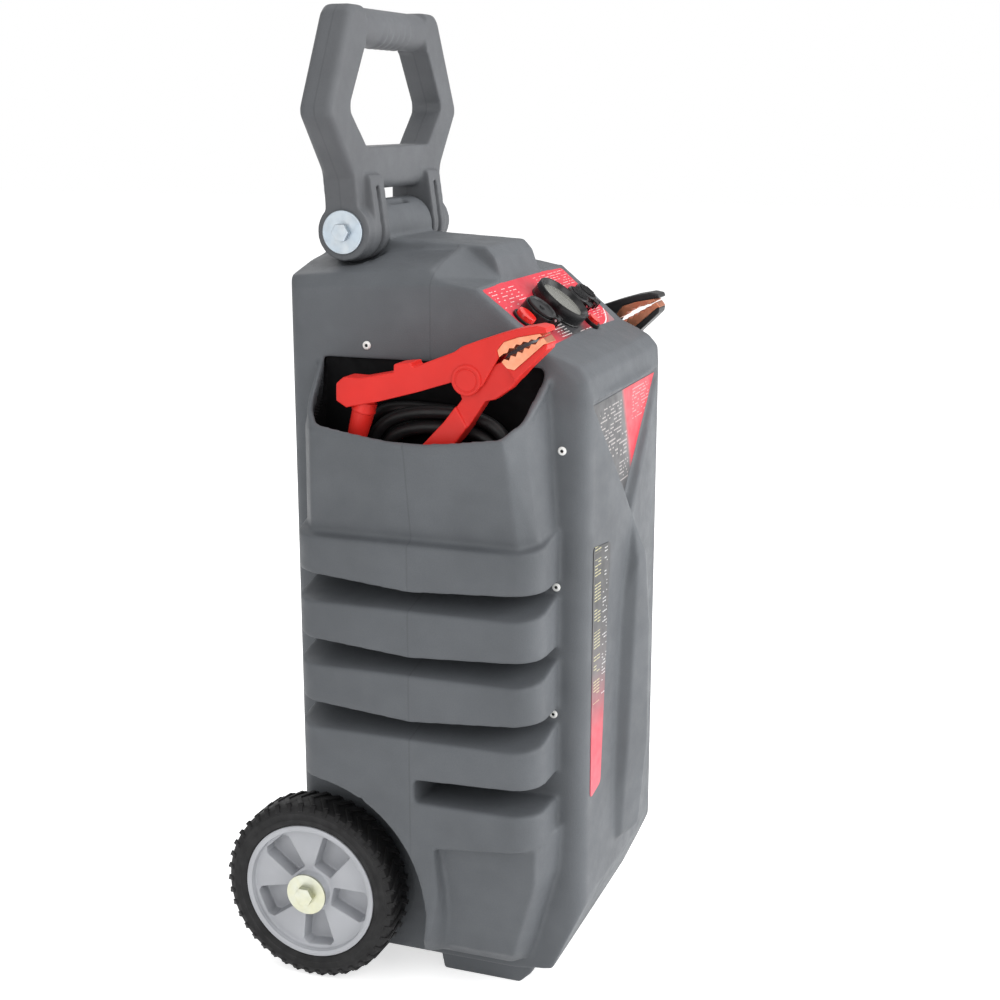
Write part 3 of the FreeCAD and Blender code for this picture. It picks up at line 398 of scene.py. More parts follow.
def panel_print():
    """Control panel: red, with fine pale lines above, a dark cloud round the meter, a pale sweep below."""
    r = film("panel_film")
    slope = math.atan2(61, 75)
    turned = r.turned(rotation=(-slope, 0, 0), scale=(1000, 1000, 1000))
    top = -63 * math.cos(slope) + 762 * math.sin(slope)
    x, s = r.axis("X", turned), r.sum("SUBTRACT", top, r.axis("Y", turned))
    cloud = r.between(distance_from(r, x, s, (-16, 78), (66, 36)), 0.35, 1.15, 1.0, 0.0)
    ink = r.mix(cloud, RED_INK, DARK_INK)
    text = None
    for box, pitch, line, length, fill in (
        ((-121, -46, 8, 36), 4.6, 0.2, 5.2, 0.55), ((22, 124, 6, 30), 3.4, 0.2, 4.2, 0.6),
        ((58, 112, 68, 84), 3.0, 0.24, 3.4, 0.6), ((-62, -30, 72, 88), 3.6, 0.26, 5.0, 0.9),
        ((-5, 32, 88, 91.5), 3.4, 0.5, 3.2, 0.8),
    ):
        one = rows(r, x, s, box, pitch, line, length, fill)
        text = one if text is None else r.sum("MAXIMUM", text, one)
    ink = r.mix(r.sum("MULTIPLY", text, 0.75), ink, PALE_INK)
    away = r.sum("SUBTRACT", distance_from(r, x, s, (66, 8)), 84)
    beyond = r.sum("MULTIPLY", r.between(away, 0.0, 6.0, 0.0, 0.8), r.between(x, 25, 60, 0.0, 1.0))
    ink = r.mix(beyond, ink, (0.25, 0.22, 0.23))
    thin_line = r.sum("LESS_THAN", r.sum("ABSOLUTE", away), 0.8)
    sweep = r.sum("MULTIPLY", thin_line, r.between(x, 30, 70, 0.0, 0.9))
    ink = r.mix(sweep, ink, (0.82, 0.8, 0.8))
    r.colour(ink)
    return r.material


def front_print():
    """Front label: dark on the left with pale lines, red along the right edge."""
    r = film("front_film")
    mm = r.turned(scale=(1000, 1000, 1000))
    x, z = r.axis("X", mm), r.axis("Z", mm)
    across = r.sum("MULTIPLY_ADD", z, 0.42, x)
    ink = r.mix(r.between(across, 232, 262), DARK_INK, (0.12, 0.115, 0.118))
    ink = r.mix(r.between(across, 256, 268), ink, RED_INK)
    text = rows(r, x, z, (-92, -14, 604, 640), 4.0, 0.34, 6.0, 0.6)
    for box, pitch, line, length, fill in (
        ((28, 96, 606, 642), 3.6, 0.3, 5.0, 0.55), ((-60, 8, 575, 601), 4.4, 0.4, 5.0, 0.5),
        ((-18, 16, 548, 570), 4.0, 0.34, 4.0, 0.6),
    ):
        text = r.sum("MAXIMUM", text, rows(r, x, z, box, pitch, line, length, fill))
    r.colour(r.mix(r.sum("MULTIPLY", text, 0.45), ink, PALE_INK))
    return r.material


def strip_print():
    """Strip on the front: black at the top, through grey to red, with groups of short lines."""
    r = film("strip_film")
    mm = r.turned(scale=(1000, 1000, 1000))
    x, z = r.axis("X", mm), r.axis("Z", mm)
    level = r.between(z, 230, 500)
    ink = r.ramp(level, (0.0, (0.6, 0.05, 0.085)), (0.24, (0.56, 0.04, 0.07)), (0.38, (0.25, 0.07, 0.085)),
                 (0.5, (0.1, 0.085, 0.088)), (0.7, (0.035, 0.034, 0.036)), (1.0, (0.02, 0.02, 0.021)))
    group = r.sum("LESS_THAN", r.sum("FRACT", r.sum("DIVIDE", z, 26.0)), 0.72)
    left = rows(r, x, z, (-118, -100, 330, 510), 3.4, 0.34, 9.0, 0.9)
    right = rows(r, x, z, (-94, -82, 330, 510), 3.6, 0.34, 6.0, 0.35)
    fade = r.between(z, 250, 330, 0.1, 1.0)
    ink = r.mix(r.sum("MULTIPLY", r.sum("MULTIPLY", left, group), r.sum("MULTIPLY", fade, 0.7)), ink,
                (0.62, 0.58, 0.3))
    ink = r.mix(r.sum("MULTIPLY", right, r.sum("MULTIPLY", fade, 0.7)), ink, (0.7, 0.7, 0.7))
    r.colour(ink)
    return r.material


def dial_print():
    """Meter dial: off-white with a ring of plain tick marks."""
    r = Recipe("dial_paint", (0.42, 0.41, 0.375), 0.6)
    slope = math.atan2(61, 75)
    turned = r.turned(rotation=(-slope, 0, 0), scale=(1000, 1000, 1000))
    top = -63 * math.cos(slope) + 762 * math.sin(slope)
    x, y = r.sum("ADD", r.axis("X", turned), 3.0), r.sum("SUBTRACT", r.axis("Y", turned), top - 52.0 - 10.0)
    radius = distance_from(r, x, y, (0, 0))
    angle = r.sum("ARCTAN2", x, y)
    tick = r.sum("LESS_THAN", r.sum("FRACT", r.sum("MULTIPLY", angle, 7.0)), 0.16)
    band = r.sum("MULTIPLY", r.sum("GREATER_THAN", radius, 21.5), r.sum("LESS_THAN", radius, 26.0))
    near = r.sum("LESS_THAN", r.sum("ABSOLUTE", angle), 0.75)
    line = r.sum("LESS_THAN", r.sum("ABSOLUTE", r.sum("SUBTRACT", radius, 21.3)), 0.25)
    mark = r.sum("MULTIPLY", near, r.sum("MAXIMUM", r.sum("MULTIPLY", tick, band), line))
    r.colour(r.mix(mark, (0.42, 0.41, 0.375), (0.03, 0.03, 0.03)))
    return r.material


BODY_GREY = (0.104, 0.112, 0.122)
shell_finish = moulded_plastic("shell_plastic", BODY_GREY, seam=-0.015)
handle_finish = moulded_plastic("handle_plastic", (0.106, 0.111, 0.119), seam=0.096)
cover_finish = plain_plastic("cover_plastic", (0.09, 0.096, 0.104), 0.55)
black_finish = plain_plastic("black_plastic", (0.006, 0.006, 0.0065), 0.3, Specular_IOR_Level=0.3)
cap_finish = plain_plastic("cap_plastic", (0.013, 0.013, 0.014), 0.4, Specular_IOR_Level=0.3)
liner_finish = plain_plastic("liner_plastic", (0.004, 0.004, 0.0045), 0.75, Specular_IOR_Level=0.12)
case_finish = plain_plastic("battery_plastic", (0.03, 0.03, 0.034), 0.4)
paint_finish = plain_plastic("black_paint", (0.02, 0.02, 0.022), 0.45)
red_button_finish = plain_plastic("red_button_plastic", (0.66, 0.014, 0.009), 0.18, Coat_Weight=0.5)
clamp_red_finish = plain_plastic("clamp_red_plastic", (0.66, 0.022, 0.016), 0.42, Specular_IOR_Level=0.3)
clamp_black_finish = plain_plastic("clamp_black_plastic", (0.013, 0.013, 0.014), 0.42,
                                   Specular_IOR_Level=0.35)
rim_finish = plain_plastic("rim_plastic", (0.42, 0.43, 0.455), 0.42)
rivet_finish = plain_plastic("rivet_paint", (0.82, 0.82, 0.8), 0.35)
tyre_finish = rubber("tyre_rubber", (0.0085, 0.0083, 0.0088), 0.62)
cable_finish = rubber("cable_rubber", (0.009, 0.009, 0.0095), 0.42)
zinc_finish = plated_metal("bright_zinc", (0.72, 0.72, 0.7), 0.28)
blue_zinc_finish = plated_metal("blue_zinc", (0.47, 0.51, 0.54), 0.42)
yellow_zinc_finish = plated_metal("yellow_zinc", (0.56, 0.57, 0.48), 0.4, (1.0, 0.98, 0.86))
copper_finish = plated_metal("copper_plate", (0.66, 0.3, 0.19), 0.4, (1.0, 0.82, 0.72))
lead_finish = plated_metal("lead", (0.42, 0.42, 0.43), 0.5)
dial_finish = dial_print()
needle_finish = plain_plastic("needle_paint", (0.02, 0.02, 0.02), 0.4)
panel_finish, front_finish, strip_finish = panel_print(), front_print(), strip_print()
glass_finish = Recipe("meter_glass", (0.3, 0.3, 0.275), 0.06, Alpha=0.5).material

FINISHES = {
    "body_shell": shell_finish, "rear_cover": cover_finish, "handle_frame": handle_finish,
    "base_plate": paint_finish, "inner_frame": paint_finish, "axle_brackets": paint_finish,
    "hold_down_strap": zinc_finish, "cover_screws": zinc_finish, "handle_bolts": blue_zinc_finish,
    "wheel_bolts": yellow_zinc_finish, "axle": zinc_finish, "cap_hinge_pins": zinc_finish,
    "shell_rivets": rivet_finish, "panel_label": panel_finish, "front_label": front_finish,
    "strip_label": strip_finish, "meter_case": black_finish, "meter_lens": glass_finish,
    "meter_dial": dial_finish, "meter_needle": needle_finish, "charge_socket": black_finish,
    "charge_socket_cap": black_finish, "button_rings": black_finish, "power_button": red_button_finish,
    "test_button": red_button_finish, "aux_socket_inner": black_finish, "aux_socket_outer": black_finish,
    "aux_cap_inner": black_finish, "aux_cap_outer": black_finish, "cable_glands": black_finish,
    "pocket_liner_left": liner_finish, "pocket_liner_right": liner_finish,
    "battery_front": case_finish, "battery_rear": case_finish, "battery_posts": lead_finish,
    "bus_bars": copper_finish, "charger_module": case_finish, "changeover_contactor": case_finish,
    "main_fuse": case_finish, "left_rim": rim_finish, "right_rim": rim_finish,
    "left_tyre": tyre_finish, "right_tyre": tyre_finish, "wheel_washers": yellow_zinc_finish,
    "handle_shaft": zinc_finish, "handle_washers": blue_zinc_finish, "clamp_springs": zinc_finish,
    "clamp_pivots": clamp_red_finish, "red_lever_upper": clamp_red_finish,
    "red_lever_lower": clamp_red_finish, "black_lever_upper": clamp_black_finish,
    "black_lever_lower": clamp_black_finish, "red_jaw_upper": copper_finish,
    "red_jaw_lower": copper_finish, "black_jaw_upper": copper_finish, "black_jaw_lower": copper_finish,
    "red_cable": cable_finish, "red_cable_coil": cable_finish, "black_cable": cable_finish,
    "black_cable_coil": cable_finish,
}
for name, finish in FINISHES.items():
    paint(nodes[name], finish)


# ---- places ----
PANEL_TOP = Vector((0, -63, 762))
PANEL_BOTTOM = Vector((0, -138, 701))
PANEL_SLOPE = math.atan2(PANEL_TOP.z - PANEL_BOTTOM.z, PANEL_TOP.y - PANEL_BOTTOM.y)
PANEL_ITEMS = {
    "meter": (-3.0, 52.0), "charge": (-76.0, 53.5), "power": (-108.0, 52.0), "test": (43.0, 84.5),
    "inner": (66.0, 50.0), "outer": (95.0, 50.0),
}
CLAMP_TILT = math.radians(30)
CLAMP_PIVOT = {-1: (-75.0, 679.0), 1: (-91.0, 675.0)}
CLAMP_X = 179.0
AXLE_Y, AXLE_Z = 111.0, 103.0
WHEEL_MIDDLE_X = 176.5


def on_panel(item):
    """The centre of an item on the control panel, in millimetres."""
    x, along = PANEL_ITEMS[item]
    return PANEL_TOP + Vector((x, -math.cos(PANEL_SLOPE) * along, -math.sin(PANEL_SLOPE) * along))


def clamp_point(side, along, up):
    """A point of a clamp, in millimetres, from its pivot: along its length and square to it."""
    y, z = CLAMP_PIVOT[side]
    c, s = math.cos(CLAMP_TILT), math.sin(CLAMP_TILT)
    return Vector((side * CLAMP_X, y - along * c + up * s, z + along * s + up * c))


# ---- modelling helpers; sizes in millimetres until settled ----
def move_to(obj, location, rotation=(0, 0, 0)):
    obj.location = Vector(location) * MM
    obj.rotation_euler = rotation
    return settle(obj)


def turned_piece(name, outline, segments, closed=False):
    """A turned shape about Z, pulled up step by step from a circle; closed ones end where they began."""
    bpy.ops.object.select_all(action="DESELECT")
    radius, height = outline[0]
    bpy.ops.mesh.primitive_circle_add(
        vertices=segments, radius=radius * MM, fill_type="NOTHING" if closed else "NGON",
        location=(0, 0, height * MM))
    obj = bpy.context.object
    obj.name = name
    bpy.ops.object.mode_set(mode="EDIT")
    bpy.ops.mesh.select_all(action="SELECT")
    for next_radius, next_height in outline[1:]:
        lift = (0, 0, (next_height - height) * MM)
        bpy.ops.mesh.extrude_region_move(TRANSFORM_OT_translate={"value": lift})
        share = next_radius / radius
        bpy.ops.transform.resize(value=(share, share, 1))
        radius, height = next_radius, next_height
    bpy.ops.object.mode_set(mode="OBJECT")
    settle(obj)
    return clean(obj, 0.00002)


def bar(name, size, bevel):
    """A block with eased edges, centred on the origin."""
    bpy.ops.object.select_all(action="DESELECT")
    bpy.ops.mesh.primitive_cube_add(size=MM)
    obj = bpy.context.object
    obj.name = name
    obj.scale = size
    settle(obj)
    bpy.ops.object.mode_set(mode="EDIT")
    bpy.ops.mesh.select_all(action="SELECT")
    bpy.ops.mesh.bevel(offset=bevel * MM, segments=2, affect="EDGES")
    bpy.ops.object.mode_set(mode="OBJECT")
    return obj


def around(obj, count):
    """Repeat the mesh about Z, count times in all."""
    edit(obj)
    bpy.ops.object.mode_set(mode="EDIT")
    bpy.ops.mesh.select_all(action="SELECT")
    bpy.ops.mesh.spin(steps=count - 1, dupli=True, angle=2 * math.pi * (count - 1) / count,
                      center=(0, 0, 0), axis=(0, 0, 1))
    bpy.ops.object.mode_set(mode="OBJECT")
    return obj


def twin(obj, name):
    """A mirrored copy on the other side of the machine."""
    only(obj)
    bpy.ops.object.duplicate()
    other = bpy.context.object
    other.name = name
    other.scale = (-1, 1, 1)
    settle(other)
    return clean(other, 0.000001)


# ---- battery cables ----
def measured(curve_object):
    """Length of a curve's own line."""
    line = curve_object.copy()
    line.data = curve_object.data.copy()
    line.data.bevel_depth = 0
    line.data.use_fill_caps = False
    bpy.context.scene.collection.objects.link(line)
    mesh = line.evaluated_get(bpy.context.evaluated_depsgraph_get()).to_mesh()
    spots = [v.co.copy() for v in mesh.vertices]
    total = sum((spots[e.vertices[0]] - spots[e.vertices[1]]).length for e in mesh.edges)
    bpy.data.objects.remove(line)
    return total


LAYER_X = (143.6, 158.0, 172.4)
COIL_Z, COIL_HIGH = 592.0, 50.0
LEAD_RADIUS = 6.9


def eased(share):
    share = max(0.0, min(1.0, share))
    return share * share * (3 - 2 * share)


def coil_point(side, lap, centre_y, long):
    """A point of the coil: in to the middle along the back layer, out again along the next."""
    x = LAYER_X[0] + (LAYER_X[1] - LAYER_X[0]) * eased((lap - 1.5) * 2)
    x += (LAYER_X[2] - LAYER_X[1]) * eased((lap - 3.5) * 2)
    inset = 15.0 * min(lap, 1.5) - 16.0 * max(0.0, min(lap - 2.0, 1.4)) - 4.0 * eased((lap - 3.5) * 2)
    c, s = math.cos(2 * math.pi * lap), math.sin(2 * math.pi * lap)
    bulge = (abs(c) ** 2.5 + abs(s) ** 2.5) ** (-1 / 2.5)
    return Vector((side * x, centre_y + (long - inset) * c * bulge, COIL_Z + (COIL_HIGH - inset) * s * bulge))


def battery_cable(colour, side, centre_y, long):
    """A heavy rubber lead: up out of its gland, round the coil in the pocket, into the clamp's boot."""
    boot_end = clamp_point(side, -140, 7)
    pull = (boot_end - clamp_point(side, -110, 36)).normalized()
    exit_point = Vector((side * 150.5, 69, 532))
    rear = centre_y + long
    points = [exit_point, Vector((side * 150.5, 69, 548)), Vector((side * 149.5, 69.5, 566)),
              Vector((side * 147.5, 69.5, 586)), Vector((side * 145.5, min(66.0, rear + 15), 606)),
              Vector((side * 144.0, rear - 2, 626)), Vector((side * 143.6, rear - 22, 639))]
    steps = 16
    for k in range(int(0.2 * steps) + 1, int(3.9 * steps) + 1):
        points.append(coil_point(side, k / steps, centre_y, long))
    points += [boot_end + pull * 16, boot_end + pull * 3, boot_end - pull * 10]
    curve = bpy.data.curves.new(colour + "_lead", "CURVE")
    curve.dimensions = "3D"
    curve.bevel_depth = LEAD_RADIUS * MM
    curve.bevel_resolution = 6
    curve.resolution_u = 5
    curve.use_fill_caps = True
    spline = curve.splines.new("NURBS")
    spline.points.add(len(points) - 1)
    for control, point in zip(spline.points, points):
        control.co = (*(point * MM), 1)
    spline.order_u = 3
    spline.use_endpoint_u = True
    lead = bpy.data.objects.new(colour + "_lead", curve)
    bpy.context.scene.collection.objects.link(lead)
    place(lead, "machine", "cable_rubber", cable_finish, colour + "_cable", colour + "_cable_coil")
    foot = clamp_point(side, -110, 36)
    sleeve = turned_piece(colour + "_boot", [
        (9.0, 6), (11.9, 6), (12.0, 13), (12.5, 14), (12.5, 16.4), (11.6, 17.4), (11.0, 30), (10.3, 41),
        (9.8, 43.4), (7.4, 43.6), (7.2, 38)], 64)
    sleeve.rotation_euler = pull.to_track_quat("Z", "Y").to_euler()
    sleeve.location = foot * MM
    settle(sleeve)
    finish = clamp_red_finish if side < 0 else clamp_black_finish
    place(smooth(sleeve), "machine", "clamp_" + colour, finish)
    length = measured(lead)
    print("lead", colour, round(length, 3))
    return lead


battery_cable("red", -1, -30.0, 80.0)
battery_cable("black", 1, -38.0, 74.0)


# ---- body and handle ----
LIP_LINE = (
    (139, -142, 676), (145, -141.6, 671), (154, -140.3, 663.5), (163, -138.5, 656), (172, -136.3, 649),
    (180, -134.3, 642), (187, -132.2, 636.5), (196, -128, 632), (204, -123.6, 628), (209, -119.8, 624),
    (211.6, -115.5, 622), (212, -105, 620.8), (212, -60, 614), (212, -15, 610.5), (212, 40, 617.6),
    (212, 70, 622.4), (210.3, 79, 624.5), (207.3, 85.5, 626.5), (203, 89, 630), (195, 94.5, 633.5),
    (186, 100, 637), (178, 103, 643), (172, 104.3, 647.5), (164, 105.2, 656), (154, 106.5, 666.5),
    (145, 108, 675.5), (139, 109.5, 680),
)


LIP_RADIUS = 3.8


def pocket_lip():
    """The rolled edge of a side pocket, a round bar bent along its mouth."""
    curve = bpy.data.curves.new("pocket_lip", "CURVE")
    curve.dimensions = "3D"
    curve.bevel_depth = LIP_RADIUS * MM
    curve.bevel_resolution = 4
    curve.use_fill_caps = True
    spline = curve.splines.new("NURBS")
    spline.points.add(len(LIP_LINE) - 1)
    for control, point in zip(spline.points, LIP_LINE):
        control.co = (*(Vector(point) * MM), 1)
    spline.order_u = 3
    spline.use_endpoint_u = True
    lip = bpy.data.objects.new("pocket_lip", curve)
    bpy.context.scene.collection.objects.link(lip)
    only(lip)
    bpy.ops.object.convert(target="MESH")
    return clean(bpy.context.object, 0.000001)


EAR_SWEEP_X, EAR_SWEEP_Y, EAR_SWEEP_Z = (0.058, 0.1), (0.03, 0.075), 0.782
EAR_ROOM = 0.0012


def under_ears(centre, normal):
    """The top of the shell where the handle's ears pass over it as the handle folds."""
    return (EAR_SWEEP_X[0] < abs(centre.x) < EAR_SWEEP_X[1]
            and EAR_SWEEP_Y[0] < centre.y < EAR_SWEEP_Y[1] and centre.z > EAR_SWEEP_Z)


def body():
    lip = pocket_lip()
    shell = softened("body_shell", "moulded_body", 1.8 * MM, 20, 190000,
                     extras=(lip, twin(lip, "other_lip")))
    pick_faces(shell, under_ears)
    bpy.ops.transform.translate(value=(0, 0, -EAR_ROOM))
    done(shell)
    return place(shell, "machine", "shell_grey", shell_finish, "body_shell")


def handle():
    grip = softened("handle_frame", "moulded_handle", 1.5 * MM, 16, 90000)
    return place(grip, "handle", "handle_grey", handle_finish, "handle_frame")


body()
handle()


# ---- small parts that keep the CAD form, with their edges eased ----
SOFT_PARTS = (
    # node, body, slot, finish, voxel in mm, smoothing rounds, triangles
    ("rear_cover", "machine", "cover_grey", cover_finish, 1.6, 4, 60000),
    ("base_plate", "machine", "base_steel", paint_finish, 1.2, 3, 12000),
    ("pocket_liner_left", "machine", "liner_black", liner_finish, 1.0, 6, 60000),
    ("pocket_liner_right", "machine", "liner_black", liner_finish, 1.0, 6, 60000),
    ("cable_glands", "machine", "black_plastic", black_finish, 0.8, 4, 12000),
    ("button_rings", "machine", "black_plastic", black_finish, 0.35, 4, 16000),
    ("aux_socket_inner", "machine", "black_plastic", black_finish, 0.4, 4, 30000),
    ("aux_socket_outer", "machine", "black_plastic", black_finish, 0.4, 4, 30000),
    ("charge_socket", "machine", "black_plastic", black_finish, 0.5, 4, 30000),
    ("power_button", "power_switch", "red_button", red_button_finish, 0.3, 6, 12000),
    ("test_button", "test_switch", "red_button", red_button_finish, 0.25, 6, 12000),
    ("cover_screws", "machine", "zinc", zinc_finish, 0.25, 2, 24000),
    ("axle_brackets", "machine", "base_steel", paint_finish, 1.0, 3, 12000),
    ("left_rim", "left_wheel", "rim_grey", rim_finish, 0.9, 6, 90000),
    ("right_rim", "right_wheel", "rim_grey", rim_finish, 0.9, 6, 90000),
    ("handle_washers", "handle", "zinc_blue", blue_zinc_finish, 0.35, 2, 30000),
    ("handle_bolts", "handle", "zinc", blue_zinc_finish, 0.35, 3, 20000),
    ("wheel_washers", "machine", "zinc_yellow", yellow_zinc_finish, 0.35, 2, 30000),
    ("wheel_bolts", "machine", "zinc", yellow_zinc_finish, 0.35, 3, 20000),
    ("clamp_springs", "machine", "zinc_blue", zinc_finish, 0.5, 2, 8000),
)


def soft_parts():
    for node, owner, slot, finish, voxel, rounds, triangles in SOFT_PARTS:
        obj = softened(node, "finished_" + node, voxel * MM, rounds, triangles)
        place(obj, owner, slot, finish, node)


soft_parts()


RIVETS = ((56.0, 700.0), (-157.0, 604.0), (-152.0, 461.5), (-150.0, 323.5))
RIVET_X = 140.0


def rivets():
    """Blind rivets: a pale domed head with a dark hollow stem in its middle."""
    heads, stems = [], []
    for y, z in RIVETS:
        for side in (-1, 1):
            place_at, turn = (side * RIVET_X, y, z), (0, side * math.radians(90), 0)
            head = turned_piece("rivet_head", [
                (4.5, -0.4), (4.5, 0.5), (4.1, 1.3), (3.3, 1.85), (2.6, 2.0), (1.9, 1.9), (1.75, 1.4),
                (1.7, 0.5)], 40)
            heads.append(move_to(head, place_at, turn))
            stem = turned_piece("rivet_stem", [(1.65, 0.4), (1.65, 1.1), (1.3, 1.4), (0.4, 1.4)], 24)
            stems.append(move_to(stem, place_at, turn))
    place(smooth(joined(heads, "rivet_heads")), "machine", "rivet_white", rivet_finish, "shell_rivets")
    place(smooth(joined(stems, "rivet_stems")), "machine", "black_plastic", black_finish)


rivets()


# ---- wheels ----
LUGS = 42


def tyre(name):
    """A pneumatic-looking tyre: turned carcass with sidewall beads, and a chevron tread round it."""
    outline = [
        (76.2, -18), (77.5, -21.4), (80, -22.4), (84, -22.9), (85, -22.4), (90, -22.5), (91, -22.9),
        (94.5, -22.2), (97.8, -20.4), (99.6, -17.2), (100.4, -10), (100.6, 0), (100.4, 10),
        (99.6, 17.2), (97.8, 20.4), (94.5, 22.2), (91, 22.9), (90, 22.5), (85, 22.4), (84, 22.9),
        (80, 22.4), (77.5, 21.4), (76.2, 18), (76.2, -18),
    ]
    carcass = turned_piece(name, outline, 160, closed=True)
    blocks = []
    for way in (-1, 1):
        lug = bar("lug", (3.6, 5.6, 22.0), 0.7)
        move_to(lug, (100.3, 0, way * 8.6), (way * math.radians(34), 0, 0))
        shoulder = bar("shoulder_lug", (8.5, 5.6, 4.0), 0.8)
        move_to(shoulder, (96.6, -6.6, way * 19.6), (0, way * math.radians(38), 0))
        blocks += [lug, shoulder]
    tread = around(joined(blocks, "tread"), LUGS)
    whole = joined([carcass, tread], name)
    whole.rotation_euler = (0, math.radians(-90), 0)
    whole.location = Vector((-WHEEL_MIDDLE_X, AXLE_Y, AXLE_Z)) * MM
    settle(whole)
    return smooth(whole, 32)


def wheels():
    left = tyre("left_tread_tyre")
    right = twin(left, "right_tread_tyre")
    smooth(right, 32)
    place(left, "left_wheel", "tyre_black", tyre_finish, "left_tyre")
    place(right, "right_wheel", "tyre_black", tyre_finish, "right_tyre")
    lip_outline = [(70.2, 19.6), (70.6, 22.0), (72.2, 22.9), (75.0, 22.9), (76.4, 22.0), (76.6, 19.6),
                   (70.2, 19.6)]
    for side, body_name in ((-1, "left_wheel"), (1, "right_wheel")):
        lip = turned_piece(body_name + "_rim_lip", lip_outline, 120, closed=True)
        move_to(lip, (side * WHEEL_MIDDLE_X, AXLE_Y, AXLE_Z), (0, side * math.radians(90), 0))
        place(smooth(lip), body_name, "rim_grey", rim_finish)


wheels()


# ---- clamps ----
def clamps():
    for colour, side, slot, finish in (("red", -1, "clamp_red", clamp_red_finish),
                                       ("black", 1, "clamp_black", clamp_black_finish)):
        for part, owner in (("upper", "machine"), ("lower", colour + "_clamp_jaw")):
            node = "%s_lever_%s" % (colour, part)
            lever = softened(node, "moulded_" + node, 0.8 * MM, 9, 45000)
            place(lever, owner, slot, finish, node)
            node = "%s_jaw_%s" % (colour, part)
            jaw = softened(node, "pressed_" + node, 0.4 * MM, 4, 30000)
            place(jaw, owner, "copper", copper_finish, node)
        disc = turned_piece(colour + "_pivot_disc", [
            (15.4, 13.9), (15.4, 15.2), (14.6, 15.9), (12.4, 15.9), (11.9, 15.2), (11.0, 15.1),
            (10.4, 15.7), (4.0, 15.9), (0.5, 15.9)], 72)
        y, z = CLAMP_PIVOT[side]
        move_to(disc, (side * CLAMP_X, y, z), (0, side * math.radians(90), 0))
        place(smooth(disc), "machine", slot, finish, "clamp_pivots")


clamps()


# ---- meter and caps on the panel ----
def on_slope(obj, item):
    """Set a piece on the control panel at an item's place, square to the slope."""
    return move_to(obj, on_panel(item), (PANEL_SLOPE, 0, 0))


def meter():
    bezel = turned_piece("meter_bezel", [
        (24.9, -1.0), (24.9, 10.8), (26.3, 12.6), (28.8, 15.8), (29.4, 16.7), (30.4, 17.0),
        (31.4, 16.6), (31.9, 15.6), (31.9, 9.5), (31.5, 8.9), (31.5, 3.2), (31.9, 2.6), (31.9, 0.8),
        (27.6, 0.8), (27.6, -1.0), (24.9, -1.0)], 120, closed=True)
    tub = turned_piece("meter_tub", [
        (27.6, -23.5), (27.6, -1.0), (24.9, -1.0), (24.9, -3.2), (0.5, -3.2)], 72)
    whole = joined([bezel, tub], "meter_housing")
    place(smooth(on_slope(whole, "meter"), 30), "machine", "black_plastic", black_finish, "meter_case")
    point = turned_piece("needle_hub", [(3.0, -1.9), (3.0, -0.6), (2.4, -0.1), (0.4, -0.1)], 40)
    move_to(point, (0, -10, 0))
    stem = bar("needle_stem", (1.1, 24.0, 0.5), 0.12)
    pick_faces(stem, lambda centre, normal: normal.y > 0.9)
    bpy.ops.transform.resize(value=(0.3, 1, 1))
    done(stem)
    move_to(stem, (0, 0.5, -0.6))
    needle = joined([point, stem], "meter_pointer")
    place(smooth(on_slope(needle, "meter")), "needle", "needle_black", needle_finish, "meter_needle")


def charge_cap():
    lid = turned_piece("charge_lid", [
        (16.4, 12.3), (17.0, 12.8), (17.0, 14.8), (16.5, 15.4), (14.9, 15.5), (14.3, 14.9), (13.6, 13.9),
        (5.0, 13.7), (3.4, 13.8), (3.1, 14.9), (2.2, 15.3), (0.3, 15.3)], 96)
    tongue = move_to(bar("charge_tongue", (7.8, 6.0, 2.6), 0.6), (0, -17.2, 13.8))
    roll = turned_piece("charge_roll", [(2.3, -3.9), (2.35, 0), (2.3, 3.9)], 32)
    move_to(roll, (0, -20.8, 15.0), (0, math.radians(90), 0))
    whole = joined([lid, tongue, roll], "charge_cap_moulding")
    place(smooth(on_slope(whole, "charge")), "charge_cap", "black_plastic", cap_finish, "charge_socket_cap")


def outlet_cap(item, owner, node):
    lid = turned_piece("outlet_lid_" + item, [
        (12.9, 4.3), (13.4, 4.8), (13.4, 9.2), (12.4, 10.6), (10.8, 10.8), (10.4, 10.2), (0.5, 10.2)], 80)
    pieces = [lid]
    for k in range(7):
        across = -9 + 3 * k
        length = 2 * math.sqrt(10.6 ** 2 - across ** 2)
        pieces.append(move_to(bar("lid_rib", (1.3, length, 2.0), 0.35), (across, 0, 10.8)))
    for k in range(28):
        turn = 2 * math.pi * k / 28
        grip = bar("lid_grip", (0.9, 1.1, 3.6), 0.25)
        pieces.append(move_to(grip, (13.2 * math.cos(turn), 13.2 * math.sin(turn), 7.0), (0, 0, turn)))
    pieces.append(move_to(bar("lid_tongue", (7.8, 6.4, 4.6), 0.6), (0, -14.2, 6.9)))
    roll = turned_piece("lid_roll", [(2.3, -3.9), (2.35, 0), (2.3, 3.9)], 32)
    pieces.append(move_to(roll, (0, -16.8, 7.0), (0, math.radians(90), 0)))
    whole = joined(pieces, "ribbed_cap_" + item)
    place(smooth(on_slope(whole, item)), owner, "black_plastic", cap_finish, node)


meter()
charge_cap()
outlet_cap("inner", "inner_socket_cap", "aux_cap_inner")
outlet_cap("outer", "outer_socket_cap", "aux_cap_outer")


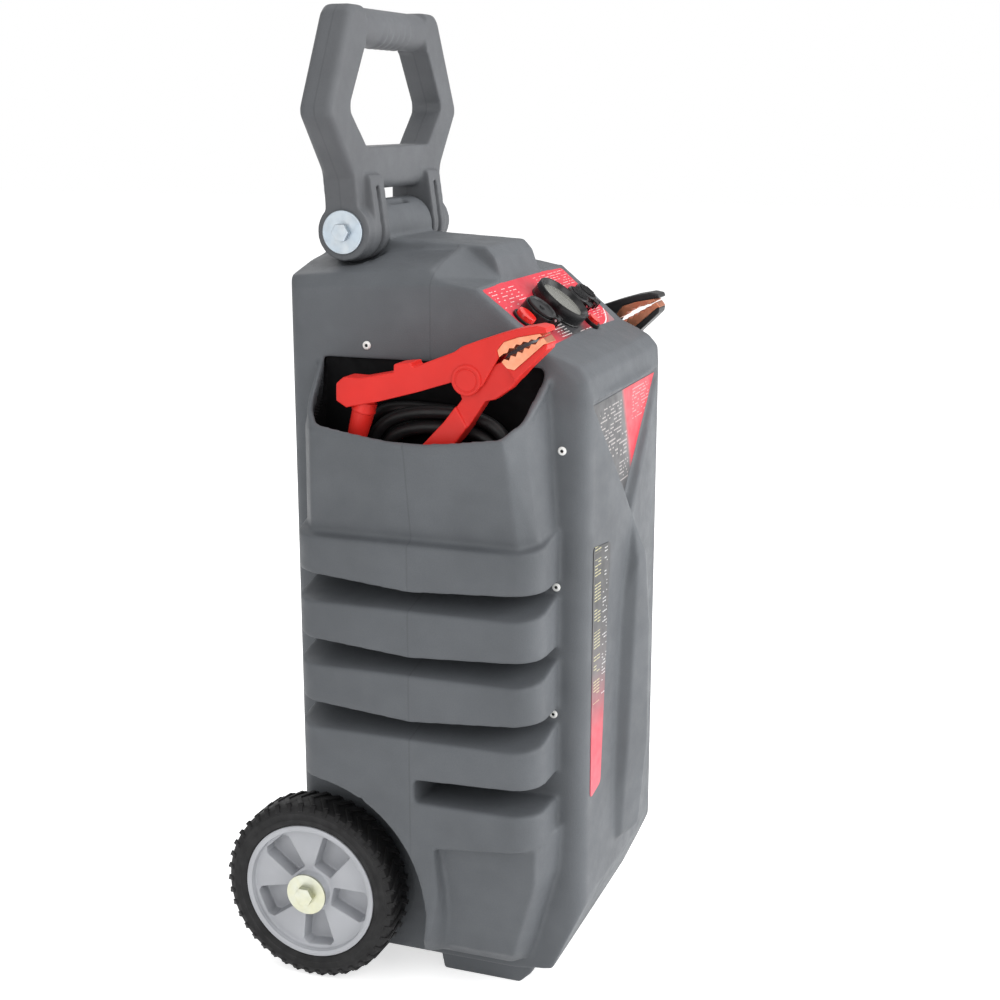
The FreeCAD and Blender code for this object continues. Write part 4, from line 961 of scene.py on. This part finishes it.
# ---- stage and light ----
def stage():
    bpy.ops.object.select_all(action="DESELECT")
    bpy.ops.mesh.primitive_plane_add(size=30, location=(0, 0, 0))
    floor = bpy.context.object
    floor.name = "floor"
    settle(floor)
    r = Recipe("pale_floor", (0.9, 0.9, 0.9), 0.9, Specular_IOR_Level=0.0)
    seen = r.node("LightPath")
    direct = r.sum("MAXIMUM", seen.outputs["Is Camera Ray"], seen.outputs["Is Glossy Ray"])
    direct = r.sum("MAXIMUM", direct, seen.outputs["Is Transmission Ray"])
    r.shader.inputs["Emission Color"].default_value = (1, 1, 1, 1)
    r.link(r.sum("MULTIPLY", direct, 0.62), r.shader.inputs["Emission Strength"])
    paint(floor, r.material)

    world = bpy.data.worlds.new("studio")
    bpy.context.scene.world = world
    world.use_nodes = True
    tree = world.node_tree
    back = tree.nodes["Background"]
    path = tree.nodes.new("ShaderNodeLightPath")
    most = tree.nodes.new("ShaderNodeMath")
    most.operation = "MAXIMUM"
    tree.links.new(path.outputs["Is Camera Ray"], most.inputs[0])
    tree.links.new(path.outputs["Is Transmission Ray"], most.inputs[1])
    strength = tree.nodes.new("ShaderNodeMapRange")
    strength.inputs["To Min"].default_value = 0.56
    strength.inputs["To Max"].default_value = 1.0
    tree.links.new(most.outputs[0], strength.inputs["Value"])
    tree.links.new(strength.outputs["Result"], back.inputs["Strength"])
    back.inputs["Color"].default_value = (1, 1, 1, 1)

    for name, spot, size, power in (
        ("key", (-1.6, -3.2, 2.9), 2.2, 60.0), ("fill", (-3.3, 0.4, 1.5), 2.6, 30.0),
        ("front", (1.1, -3.3, 1.3), 2.6, 95.0), ("top", (0.3, -0.4, 3.4), 2.4, 34.0),
        ("back", (2.4, 2.2, 2.4), 2.0, 22.0),
    ):
        data = bpy.data.lights.new(name, "AREA")
        data.size = size
        data.energy = power
        lamp = bpy.data.objects.new(name, data)
        bpy.context.scene.collection.objects.link(lamp)
        lamp.location = spot
        aim = Vector((0, 0, 0.5)) - Vector(spot)
        lamp.rotation_euler = aim.to_track_quat("-Z", "Y").to_euler()


stage()

import json
